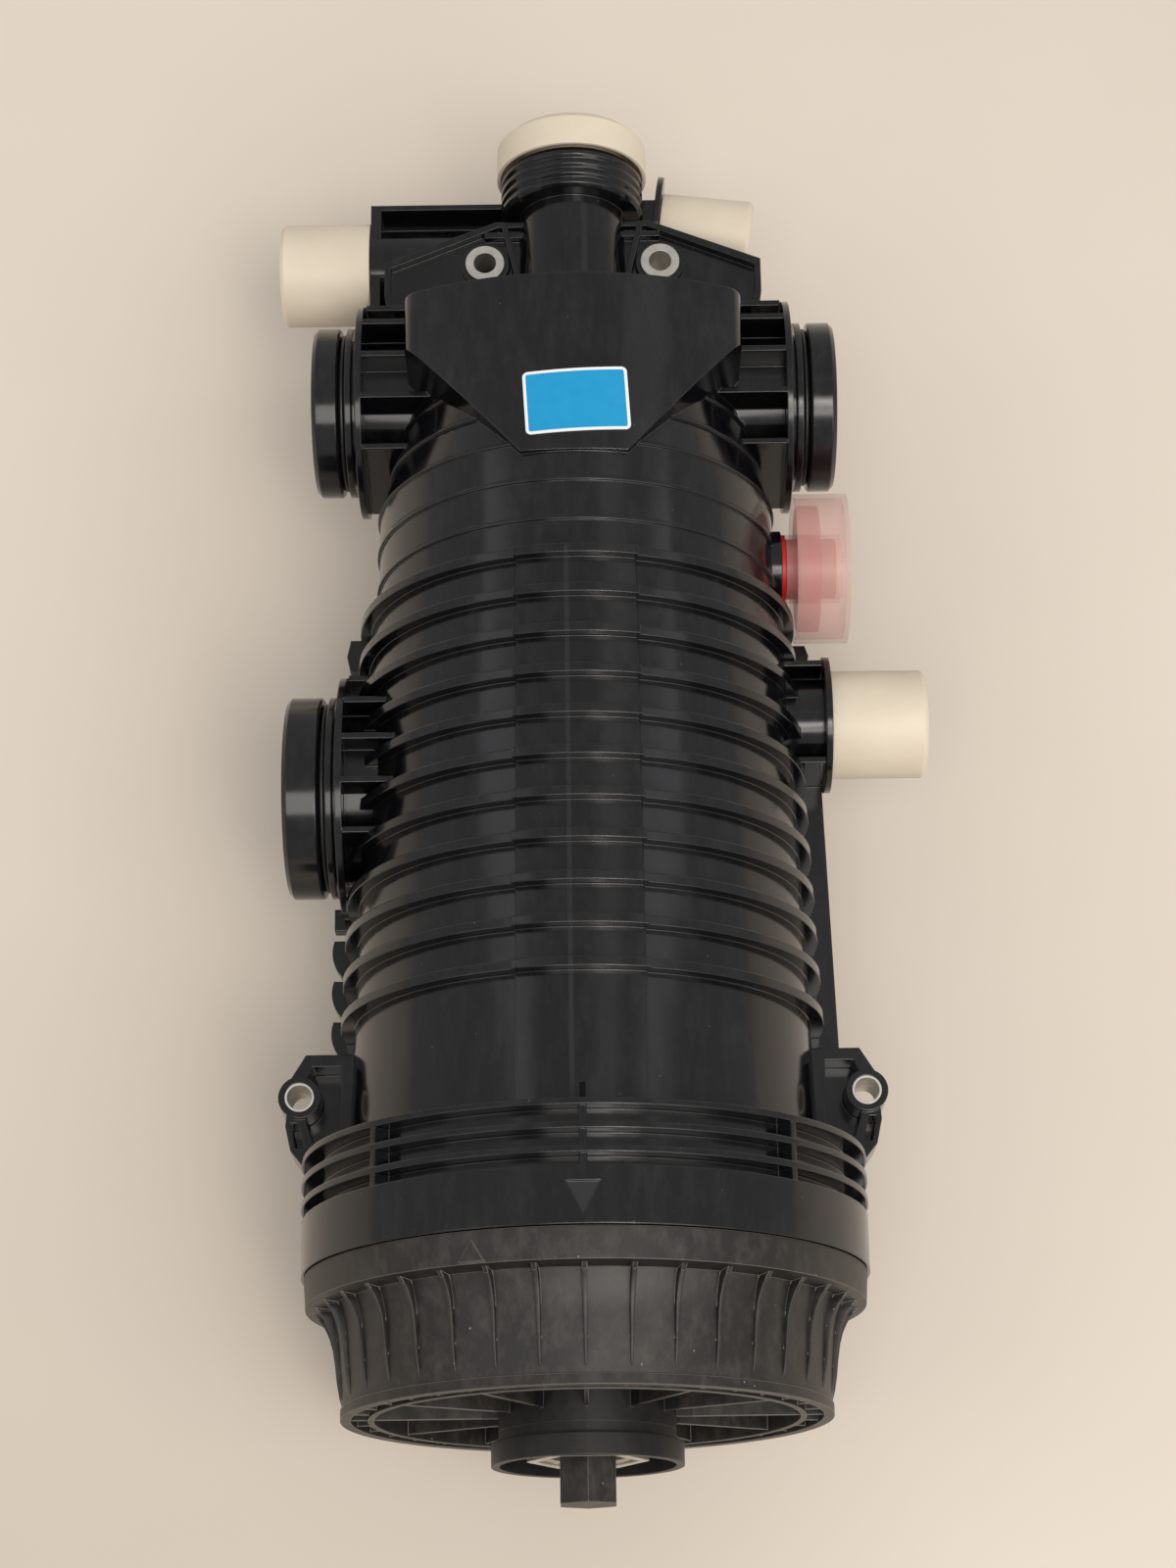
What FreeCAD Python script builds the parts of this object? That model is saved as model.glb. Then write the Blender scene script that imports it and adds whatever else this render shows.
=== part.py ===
import FreeCAD, Part
import math
import os
import re
import Sketcher
from FreeCAD import Placement, Rotation, Vector

# Large suction and return hydraulic filter, lying with its axis along Y.
# The origin is the middle of the two collar lugs, on the filter's axis.
# +Y runs to the neck, +Z to the side that carries the shield and the label.

os.makedirs("parts", exist_ok=True)
doc = FreeCAD.newDocument("hydraulic_filter")
sizes = doc.addObject("Spreadsheet::Sheet", "Sizes")

# Driving dimensions in millimetres. A place is a distance along the axis from the lugs.
driving = {
    # mounting plane and bolts
    "mountPlane": -12, "sleeveLength": 20, "sleeveBore": 4.4,
    "lugSpacing": 202, "lugSleeveRadius": 5.3, "lugBossRadius": 7.6,
    "plateBoltPlace": 333.6, "plateBoltSpacing": 68.6, "plateSleeveRadius": 7.6, "plateBossRadius": 9.4,
    # collar
    "mouthPlace": -65, "skirtRadius": 99.7, "skirtTop": -45.6,
    "collarRibRadius": 100, "collarRibTop": -23.6, "collarRibPitch": 7.9, "collarRibWidth": 2.2,
    "collarCoreRadius": 93, "collarWebCount": 8, "collarWebWidth": 2.2, "mouthBore": 90, "mouthBoreEnd": -28,
    # ribbed barrel
    "barrelLowRadius": 83.5, "barrelTopRadius": 77.5, "barrelTop": 179, "barrelWall": 4,
    "ribLowPlace": 26, "ribLowRadius": 87, "ribTopRadius": 81.5, "ribWidth": 3.4,
    "ribCount": 11, "panelAngle": 31, "panelRise": 1.5,
    # upper barrel, cone and head
    "upperRadius": 74.6, "upperTop": 224, "coneTop": 274, "headRadius": 62.5, "headEnd": 292,
    "shieldCorner": 9, "spigotRoot": 52, "lugTop": 15.8, "lugFrame": 4.4, "lugFloor": 6, "lugSetback": 1.5,
    # gaps and fits
    "faceGap": 0.3, "fitGap": 0.05, "sleeveFit": 0.05, "sealGap": 0.3, "sealLift": 0.3, "sealSqueeze": 0.8,
    "valveLift": 0.3,
    "thinRibCount": 5, "thinRibRise": 0.9, "thinRibWidth": 1.5, "headWall": 5,
    "shieldFace": 76, "shieldArc": 131, "shieldTip": 220.5, "shieldTipWidth": 39, "shieldShoulder": 271,
    # neck
    "neckRadius": 20.8, "neckThreadStart": 356.5, "neckEnd": 374, "neckThreadRadius": 28, "neckBore": 17,
    "neckThreadPitch": 4.2, "neckThreadDepth": 1.3,
    # bracket plate
    "plateFace": 4, "plateThickness": 5, "plateRim": 2.4, "plateRimRise": 3.5,
    "plateTop": 352, "plateShoulder": 334.5, "plateTip": 291, "plateHalfWidth": 73.6, "plateTopHalf": 30,
    "plateSide": 14, "plateTipHalf": 69.3, "plateRibPlace": 345,
    # rail, teeth and tabs along the sides
    "backEdgeHeight": -15, "backEdgeDepth": 6, "railLowReach": 93.4, "railTopReach": 90.7, "railTop": 123.6,
    "toothTop": 63.6, "toothPitch": 15.4, "toothHeight": 13.5, "toothReach": 91, "toothSlant": 2.8,
    "toothGap": 4, "toothStub": 8.2, "tabLow": 169.8, "tabTop": 183, "tabReach": 87.8, "tabSlant": 1.4,
    "tabUnderCap": 4.6,
    # hose spigots
    "topPortPlace": 273, "topPortFace": 99.4, "topPortRadius": 32.5, "topPortBore": 25,
    "topPortCollar": 80, "topPortCollarRadius": 40.8, "topPortCollarWidth": 2.4,
    "sidePortPlace": 115.2, "sidePortFace": 107, "sidePortRadius": 37.4, "sidePortBore": 30,
    "sidePortCollar": 84.8, "sidePortCollarRadius": 44.5, "sidePortCollarWidth": 2.6,
    "sidePortDisc": 13, "portRibPitch": 16.6, "portRibCount": 5, "portRibSpread": 0.94,
    "spigotDisc": 10, "spigotGroove": 2.6, "spigotRing": 2.4, "spigotGrooveDepth": 4.6, "spigotEdge": 1.6,
    "portTubeWall": 4, "portRibWidth": 2.2,
    # plug-in caps
    "capRadius": 20.1, "capWall": 1.8, "capLength": 35.6, "capPortBore": 13, "capPortLength": 24, "capEdge": 1.5,
    "drainPortPlace": 141.5, "drainPortFace": 93.2, "drainPlateRadius": 25.4, "drainPlateWidth": 2.4,
    "returnPortPlace": 342, "returnPortFace": 79.8, "returnPortHeight": -16,
    "returnBlockHalf": 24, "returnBlockTop": 365, "returnBlockDepth": 34,
    "breatherPlace": 371, "breatherFlange": 35.6, "breatherTilt": 7, "breatherCapRadius": 14.4,
    "breatherCapLength": 37, "breatherFlangeRadius": 21, "breatherBore": 8, "breatherHeight": -26,
    "breatherBlockTop": 373.5, "breatherBlockDepth": 24,
    "neckCapRadius": 29.6, "neckCapTop": 389.5, "neckCapWall": 1.5, "neckPlug": 14,
    # indicator plug
    "indicatorPlace": 205, "indicatorFace": 77.4, "indicatorBossRadius": 14.5, "plugRadius": 11.4,
    "plugFlangeRadius": 13, "plugFlange": 1.6, "plugThread": 9, "plugEnd": 98, "plugShank": 8,
    "clearRadius": 28.4, "clearEnd": 102.2,
    "clearWall": 1.6, "clearRim": 82.4,
    # marks for the cover's closed position
    "markHalf": 5.6, "markHeight": 11, "markDepth": 0.6, "collarMarkTop": -51, "coverMarkAngle": 21.7,
    # cover
    "coverBandRadius": 98.7, "coverBandEnd": -76, "coverEnd": -114, "coverEndRadius": 85.4, "finCount": 36,
    "finWidth": 1.6, "finRise": 3, "finEnd": -99, "coverThroat": 87, "coverThroatPlace": -93, "coverWall": 4,
    "coverRingRadius": 75.8, "coverRingWidth": 2, "coverWebPlace": -104, "coverWebThickness": 4,
    "hubRadius": 33.4, "hubStepRadius": 30.8, "hubEnd": -129.6, "hubStep": -122, "hubWall": 2.8,
    "coverRimHeight": 3.5, "coverRimStep": 0.6, "coverRimWidth": 3.6, "coverRecess": 7, "coverSweep": 24,
    "coverRibWidth": 1.4, "hubInner": -112, "supportEnd": -73.3, "supportRadius": 44,
    "hubFloor": -118, "spigotRadius": 89.7, "spigotEnd": -35, "spigotWall": 4.4, "coverRibCount": 12,
    "coverSealPlace": -45, "coverSealSection": 5, "coverSealGroove": 5.6,
    # drain plug and its bush
    "bushFlats": 37, "bushThickness": 5, "bushFace": -123, "bushBore": 9.1, "plugHexFlats": 19.2, "plugHexEnd": -142.6,
    "drainShank": 9.05, "drainShankEnd": -108.5, "drainSealSection": 1.8, "drainSealRadius": 12.4,
    # filter element
    "mediaRadius": 60, "mediaStart": -68, "mediaEnd": 216, "pleatCount": 48, "pleatDepth": 16,
    "valveSocket": 8, "sealSeat": 2.6, "elementNeck": 20,
    "elementCapRadius": 63, "elementCapThickness": 5, "coreRadius": 39, "coreWall": 1.5,
    "coreHoleRadius": 8, "coreHoleRows": 8, "coreHoleColumns": 4,
    # head spigot and valves
    "headTubeRadius": 32, "headTubeBore": 27, "headTubeEnd": 220, "elementSealSection": 3,
    "valveSeatBore": 18, "valveDiscRadius": 21, "valveDiscThickness": 3, "valveStemRadius": 3,
    "valveStemLength": 40, "springWire": 2, "springRadius": 9.5, "springTurns": 6,
    "springLength": 28, "cageLegs": 3, "guideRadius": 6.5, "guideLength": 8, "valveSeatThickness": 4,
    # label
    "labelWidth": 38, "labelHeight": 25, "labelPlace": 240, "labelThickness": 0.3, "labelGlue": 0.05,
    "labelCorner": 2, "labelShift": 1, "labelTilt": 3,
}
for row, (alias, value) in enumerate(driving.items(), 1):
    sizes.set("A%d" % row, alias)
    sizes.set("B%d" % row, str(value))
    sizes.setAlias("B%d" % row, alias)
doc.recompute()


def formula(text):
    """The expression with each size's name pointing at its cell."""
    return re.sub(r"[A-Za-z]\w*", lambda word: "Sizes." + word.group() if word.group() in driving
                  else word.group(), str(text))


def amount(text):
    """The value that an expression of sizes has now."""
    return float(sizes.evalExpression(formula(text)))


def newBody(label):
    body = doc.addObject("PartDesign::Body", label)
    body.Label = label
    return body


def origin(body, role):
    return [item for item in body.Origin.OriginFeatures if item.Role == role][0]


def newSketch(body, name, role, offset=None, turn=None):
    """A sketch on one of the body's own planes, moved off it by the given expressions."""
    sketch = body.newObject("Sketcher::SketchObject", name)
    sketch.AttachmentSupport = (origin(body, role), [""])
    sketch.MapMode = "FlatFace"
    for axis, text in (offset or {}).items():
        sketch.setExpression("AttachmentOffset.Base." + axis, formula(text))
    if turn:
        sketch.setExpression("AttachmentOffset.Rotation.Angle", formula(turn[1]))
        sketch.AttachmentOffset = Placement(sketch.AttachmentOffset.Base, Rotation(turn[0], amount(turn[1])))
    return sketch


def pinned(geo, end, x, y):
    """The constraints that tie a point to a pair of expressions, each with its expression."""
    ties = []
    for kind, text, axis in (("DistanceX", x, -2), ("DistanceY", y, -1)):
        if str(text) == "0":
            ties.append((Sketcher.Constraint("PointOnObject", geo, end, axis), None))
        else:
            ties.append((Sketcher.Constraint(kind, geo, end, amount(text)), text))
    return ties


def tie(sketch, ties):
    """Adds the constraints at once, then binds each to its expression."""
    first = sketch.ConstraintCount
    sketch.addConstraint([constraint for constraint, text in ties])
    for index, (constraint, text) in enumerate(ties, first):
        if text is not None:
            sketch.setExpression("Constraints[%d]" % index, formula(text))


def outline(sketch, corners, arcs=None):
    """A closed outline through corners. arcs gives radius and side of the edges that are round."""
    arcs = arcs or {}
    points = [Vector(amount(x), amount(y), 0) for x, y in corners]
    first = sketch.GeometryCount
    count = len(points)
    shapes = []
    ends = []
    ties = []
    for i, start in enumerate(points):
        stop = points[(i + 1) % count]
        if i not in arcs:
            shapes.append(Part.LineSegment(start, stop))
            ends.append((first + i, 1, 2))
            continue
        radius, side = arcs[i]
        size = amount(radius)
        chord = stop - start
        normal = Vector(-chord.y, chord.x, 0).normalize()
        reach = math.sqrt(size ** 2 - (chord.Length / 2) ** 2)
        sign = 1 if side == "right" else -1
        centre = (start + stop) * 0.5 + normal * (reach * sign)
        one, two = (start, stop) if sign == 1 else (stop, start)
        angles = [math.atan2(p.y - centre.y, p.x - centre.x) for p in (one, two)]
        shapes.append(Part.ArcOfCircle(Part.Circle(centre, Vector(0, 0, 1), size), angles[0], angles[1]))
        ends.append((first + i, 1, 2) if sign == 1 else (first + i, 2, 1))
        ties.append((Sketcher.Constraint("Radius", first + i, size), radius))
    for i, (geo, start, stop) in enumerate(ends):
        after = ends[(i + 1) % count]
        ties.append((Sketcher.Constraint("Coincident", geo, stop, after[0], after[1]), None))
        ties += pinned(geo, start, corners[i][0], corners[i][1])
    sketch.addGeometry(shapes, False)
    tie(sketch, ties)


def ring(sketch, x, y, radius):
    """A circle with its centre and radius tied to expressions."""
    circle = Part.Circle(Vector(amount(x), amount(y), 0), Vector(0, 0, 1), amount(radius))
    geo = sketch.addGeometry(circle, False)
    tie(sketch, pinned(geo, 3, x, y) + [(Sketcher.Constraint("Radius", geo, amount(radius)), radius)])


def turned(body, name, sketch, cut=False, axis="H_Axis"):
    """Turns a sketch a full circle about one of its own axes."""
    feature = body.newObject("PartDesign::Groove" if cut else "PartDesign::Revolution", name)
    feature.Profile = sketch
    feature.ReferenceAxis = (sketch, [axis])
    feature.Angle = 360
    feature.Refine = False
    return feature


def raised(body, name, sketch, length, cut=False, midplane=False, reverse=False):
    """Pads or pockets a sketch to a length given by an expression."""
    feature = body.newObject("PartDesign::Pocket" if cut else "PartDesign::Pad", name)
    feature.Profile = sketch
    feature.setExpression("Length", formula(length))
    feature.Midplane = midplane
    feature.Reversed = reverse
    feature.Refine = False
    return feature


def aroundAxis(body, name, features, role, count):
    """Repeats features evenly about one of the body's axes."""
    pattern = body.newObject("PartDesign::PolarPattern", name)
    pattern.Originals = features
    pattern.Axis = (origin(body, role), [""])
    pattern.Angle = 360
    pattern.setExpression("Occurrences", formula(count))
    pattern.Refine = False
    body.Tip = pattern
    return pattern


def simpleTurned(label, corners, role="YZ_Plane", arcs=None, offset=None):
    """A body that is one turned profile of distance along the axis and radius."""
    body = newBody(label)
    sketch = newSketch(body, label + "_profile", role, offset)
    outline(sketch, corners, arcs)
    turned(body, label + "_turned", sketch)
    return body


def along(start, startValue, stop, stopValue, place):
    """The expression for a value that runs evenly between two places."""
    return "((%s)+((%s)-(%s))*((%s)-(%s))/((%s)-(%s)))" % (
        startValue, stopValue, startValue, place, start, stop, start)


def barrelRadius(place):
    return along("collarRibTop", "barrelLowRadius", "barrelTop", "barrelTopRadius", place)


def coneRadius(place):
    return along("upperTop", "upperRadius", "coneTop", "headRadius", place)


ribPitch = "(barrelTop-ribLowPlace)/(ribCount-1)"


def barrelRibs(rise, end):
    """The corners of the barrel's ribs, all lifted by a rise, down to a last radius above them."""
    corners = []
    last = int(amount("ribCount")) - 1
    for rib in range(last + 1):
        place = "ribLowPlace+%d*%s" % (rib, ribPitch)
        radius = along("ribLowPlace", "ribLowRadius", "barrelTop", "ribTopRadius", place)
        low, high = place + "-ribWidth/2", place + "+ribWidth/2"
        corners += [(low, barrelRadius(low) + "+" + rise), (low, radius + "+" + rise), (high, radius + "+" + rise)]
        corners.append((high, barrelRadius(high) + "+" + rise if rib < last else end))
    return corners


def housingProfile():
    """The outside of the moulding: collar, ribbed barrel, cone, head and threaded neck."""
    corners = [("mouthPlace", "0"), ("mouthPlace", "skirtRadius"), ("skirtTop", "skirtRadius"),
               ("skirtTop", "collarCoreRadius")]
    for rib in (2, 1, 0):
        top = "collarRibTop-%d*collarRibPitch" % rib
        corners += [(top + "-collarRibWidth", "collarCoreRadius"), (top + "-collarRibWidth", "collarRibRadius"),
                    (top, "collarRibRadius")]
        corners.append((top, "collarCoreRadius") if rib else (top, "barrelLowRadius"))
    corners += barrelRibs("0", "upperRadius")
    coneStarted = False
    for rib in range(1, int(amount("thinRibCount")) + 1):
        place = "barrelTop+%d*(%s)" % (rib, ribPitch)
        if amount(place) > amount("upperTop") and not coneStarted:
            corners.append(("upperTop", "upperRadius"))
            coneStarted = True
        low, high = place + "-thinRibWidth/2", place + "+thinRibWidth/2"
        wall = coneRadius if coneStarted else (lambda here: "upperRadius")
        corners += [(low, wall(low)), (low, wall(low) + "+thinRibRise"),
                    (high, wall(high) + "+thinRibRise"), (high, wall(high))]
    corners += [("coneTop", "headRadius"), ("headEnd", "headRadius"), ("headEnd", "neckRadius"),
                ("neckThreadStart", "neckRadius")]
    for crest in range(4):
        start = "neckThreadStart+%d*neckThreadPitch" % crest
        corners += [(start, "neckThreadRadius-neckThreadDepth"), (start + "+neckThreadPitch/3", "neckThreadRadius"),
                    (start + "+neckThreadPitch*2/3", "neckThreadRadius")]
    corners += [("neckEnd", "neckThreadRadius-neckThreadDepth"), ("neckEnd", "0")]
    return corners


def cavityProfile():
    """The inside of the moulding, from the mouth to the head's end wall."""
    return [("mouthPlace", "0"), ("mouthPlace", "mouthBore"), ("mouthBoreEnd", "mouthBore"),
            ("mouthBoreEnd", barrelRadius("mouthBoreEnd") + "-barrelWall"),
            ("barrelTop", "barrelTopRadius-barrelWall"), ("barrelTop", "upperRadius-barrelWall"),
            ("upperTop", "upperRadius-barrelWall"), ("coneTop", "headRadius-barrelWall"),
            ("headEnd-headWall", "headRadius-barrelWall"), ("headEnd-headWall", "0")]


def addShield(body):
    """The flat-fronted shield on the head, with a tip that narrows down to the barrel."""
    half = "headRadius"
    edge = "shieldFace-shieldArc+sqrt(shieldArc*shieldArc-headRadius*headRadius)"
    front = newSketch(body, "shield_end", "XZ_Plane", {"z": "-headEnd"})
    outline(front, [("-" + half, "0"), (half, "0"), (half, edge), ("-" + half, edge)], {2: ("shieldArc", "right")})
    block = raised(body, "shield_block", front, "headEnd-shieldTip")
    doc.recompute()
    sides = [i for i, item in enumerate(block.Shape.Edges, 1) if len(item.Vertexes) == 2
             and abs(item.Vertexes[0].Z - amount(edge)) < 0.01 and abs(item.Vertexes[1].Z - amount(edge)) < 0.01
             and abs(item.Vertexes[0].X - item.Vertexes[1].X) < 0.01]
    corner = body.newObject("PartDesign::Fillet", "shield_corners")
    corner.Base = (block, ["Edge%d" % i for i in sides])
    corner.setExpression("Radius", formula("shieldCorner"))
    cut = newSketch(body, "shield_tip", "XY_Plane")
    for side in ("", "-"):
        outline(cut, [(side + "shieldTipWidth/2", "shieldTip"), (side + "headRadius", "shieldShoulder"),
                      (side + "shieldArc", "shieldShoulder"), (side + "shieldArc", "shieldTip")])
    raised(body, "shield_tip_cut", cut, "shieldArc", cut=True, reverse=True)


def addPanel(body):
    """The raised front panel of the barrel, with its ribs raised by as much."""
    panel = newSketch(body, "panel_profile", "YZ_Plane")
    root = "barrelTopRadius-barrelWall/2"
    outline(panel, [("collarRibTop", root), ("collarRibTop", "barrelLowRadius+panelRise")]
            + barrelRibs("panelRise", root))
    strip = turned(body, "panel", panel)
    strip.setExpression("Angle", formula("panelAngle"))
    strip.Midplane = True


def addBackEdges(body):
    """The flat rail, teeth and tabs along the barrel's two sides, behind its middle."""
    flat = newSketch(body, "back_edge_outlines", "XY_Plane", {"z": "backEdgeHeight"})
    root = "barrelTopRadius-barrelWall/2"
    outline(flat, [(root, "lugTop-1"), ("railLowReach", "lugTop-1"), ("railTopReach", "railTop"), (root, "railTop")])
    for tooth in range(3):
        top = "toothTop-%d*toothPitch" % tooth
        outline(flat, [("-(%s)" % root, top), ("-toothReach", top), ("-toothReach+toothSlant", top + "-toothHeight"),
                       ("-(%s)" % root, top + "-toothHeight")], {1: ("toothHeight", "right")})
    low, high = "toothTop+toothGap", "toothTop+toothGap+toothStub"
    outline(flat, [("-(%s)" % root, low), ("-toothReach", low), ("-toothReach", high), ("-(%s)" % root, high)])
    root = "upperRadius-barrelWall"
    for side, top in (("", "tabTop-tabUnderCap"), ("-", "tabTop")):
        outline(flat, [(side + x, y) for x, y in (
            ("(%s)" % root, "tabLow"), ("(tabReach-tabSlant)", "tabLow"), ("tabReach", "(tabLow+%s)/2" % top),
            ("(tabReach-tabSlant)", top), ("(%s)" % root, top))])
    raised(body, "back_edges", flat, "backEdgeDepth", midplane=True)


def addPlate(body):
    """The arched bracket plate with its rim, sleeve bosses and stiffening ribs."""
    def arch(name, inset):
        sketch = newSketch(body, name, "XY_Plane", {"z": "plateFace+plateRimRise"})
        corners = [("plateTopHalf", "plateTop"), ("plateHalfWidth", "plateShoulder"),
                   ("plateHalfWidth", "plateShoulder-plateSide"), ("plateTipHalf", "plateTip")]
        moved = ["-(%s)/3" % inset, "-(%s)" % inset, "-(%s)" % inset, "-(%s)" % inset]
        lowered = ["-(%s)" % inset, "-(%s)" % inset, "", "+(%s)*2" % inset]
        right = [(x + a, y + b) for (x, y), a, b in zip(corners, moved, lowered)]
        left = [("-(%s)" % x, y) for x, y in reversed(right)]
        outline(sketch, right + left)
        return sketch
    raised(body, "plate", arch("plate_outline", "0"), "plateThickness+plateRimRise", reverse=True)
    raised(body, "plate_recess", arch("plate_inside", "plateRim"), "plateRimRise", cut=True)
    ribs = newSketch(body, "plate_ribs", "XY_Plane", {"z": "plateFace"})
    low, high = "plateRibPlace", "plateRibPlace+plateRim"
    outline(ribs, [("-plateBoltSpacing/2", low), ("plateBoltSpacing/2", low), ("plateBoltSpacing/2", high),
                   ("-plateBoltSpacing/2", high)])
    raised(body, "plate_rib", ribs, "plateRimRise")
    struts = newSketch(body, "plate_struts", "XY_Plane", {"z": "plateFace"})
    for side in ("", "-"):
        outline(struts, [(side + "(plateTopHalf-plateRim*2)", "plateTop-plateRim"),
                         (side + "(plateTopHalf-plateRim)", "plateTop-plateRim"),
                         (side + "(neckRadius*0.7)", "headEnd"), (side + "(neckRadius*0.7-plateRim)", "headEnd")])
    raised(body, "plate_strut", struts, "plateRimRise")


def addLugs(body):
    """The two lugs at the collar, each with a boss, a deep pocket beside it and a shallow one below."""
    lugs = newSketch(body, "lug_outline", "XY_Plane", {"z": "mountPlane"})
    bosses = newSketch(body, "lug_bosses", "XY_Plane", {"z": "mountPlane"})
    pockets = newSketch(body, "lug_pockets", "XY_Plane", {"z": "mountPlane+sleeveLength"})
    root = "barrelLowRadius-barrelWall/2"
    middle = "lugSpacing/2"
    for side in ("", "-"):
        corners = [(root, "lugTop"), (middle + "-2", "lugTop"), (middle + "+3.5", "lugTop-9"),
                   (middle + "+5", "-lugBossRadius-2.5"), (middle + "+3", "-lugBossRadius-11.5"),
                   ("collarRibRadius-0.5", "collarRibTop-collarRibWidth/2"),
                   (root, "collarRibTop-collarRibWidth/2")]
        outline(lugs, [(side + "(%s)" % x, y) for x, y in corners])
        ring(bosses, side + middle, "0", "lugBossRadius")
        beside = [("barrelLowRadius+3", "lugTop-lugFrame"), (middle + "-4.5", "lugTop-lugFrame"),
                  (middle + "-2.5", "lugTop-lugFrame*2"), (middle + "-2.5", "-lugBossRadius-1.5"),
                  (middle + "-5", "-lugBossRadius-lugFrame*2"), ("barrelLowRadius+3", "-lugBossRadius-lugFrame*2")]
        outline(pockets, [(side + "(%s)" % x, y) for x, y in beside])
        below = [(middle + "+0.5", "-lugBossRadius-1.5"), (middle + "+3.2", "-lugBossRadius-1.5"),
                 (middle + "+1.4", "-lugBossRadius-10.5"), (middle + "-2", "-lugBossRadius-10.5")]
        outline(pockets, [(side + "(%s)" % x, y) for x, y in below])
    raised(body, "lugs", lugs, "sleeveLength-lugSetback")
    raised(body, "lug_pocket", pockets, "sleeveLength-lugFloor", cut=True)
    raised(body, "lug_boss", bosses, "sleeveLength")


def addSpigot(body, name, side, place, face, radius, collar, collarRadius, collarWidth, disc):
    """A hose spigot along X: sealing disc, groove, ring, collar plate, tube and parallel ribs."""
    sketch = newSketch(body, name + "_profile", "XY_Plane", {"y": place})
    groove = radius + "-spigotGrooveDepth"
    ringStart = "%s-%s-spigotGroove-spigotRing" % (face, disc)
    steps = [("spigotRoot", "0"), ("spigotRoot", groove), (collar, groove), (collar, collarRadius),
             (collar + "+" + collarWidth, collarRadius), (collar + "+" + collarWidth, groove), (ringStart, groove),
             (ringStart, radius), (ringStart + "+spigotRing", radius), (ringStart + "+spigotRing", groove),
             ("%s-%s" % (face, disc), groove), ("%s-%s" % (face, disc), radius + "-spigotEdge/2"),
             ("%s-%s+spigotEdge/2" % (face, disc), radius), (face + "-spigotEdge", radius),
             (face, radius + "-spigotEdge"), (face, "0")]
    outline(sketch, [(side + "(%s)" % x, y) for x, y in steps])
    turned(body, name + "_spigot", sketch)
    for row in range(int(amount("portRibCount"))):
        offset = "(%s*portRibSpread-%d*portRibPitch)" % (collarRadius, row)
        half = "sqrt(%s*%s-%s*%s)" % (collarRadius, collarRadius, offset, offset)
        ribs = newSketch(body, "%s_ribs_%d" % (name, row), "XY_Plane", {"y": place})
        low, high = offset + "-portRibWidth/2", offset + "+portRibWidth/2"
        outline(ribs, [(side + "spigotRoot", low), (side + "(%s)" % collar, low), (side + "(%s)" % collar, high),
                       (side + "spigotRoot", high)])
        raised(body, "%s_rib_%d" % (name, row), ribs, half + "*2", midplane=True)


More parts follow.
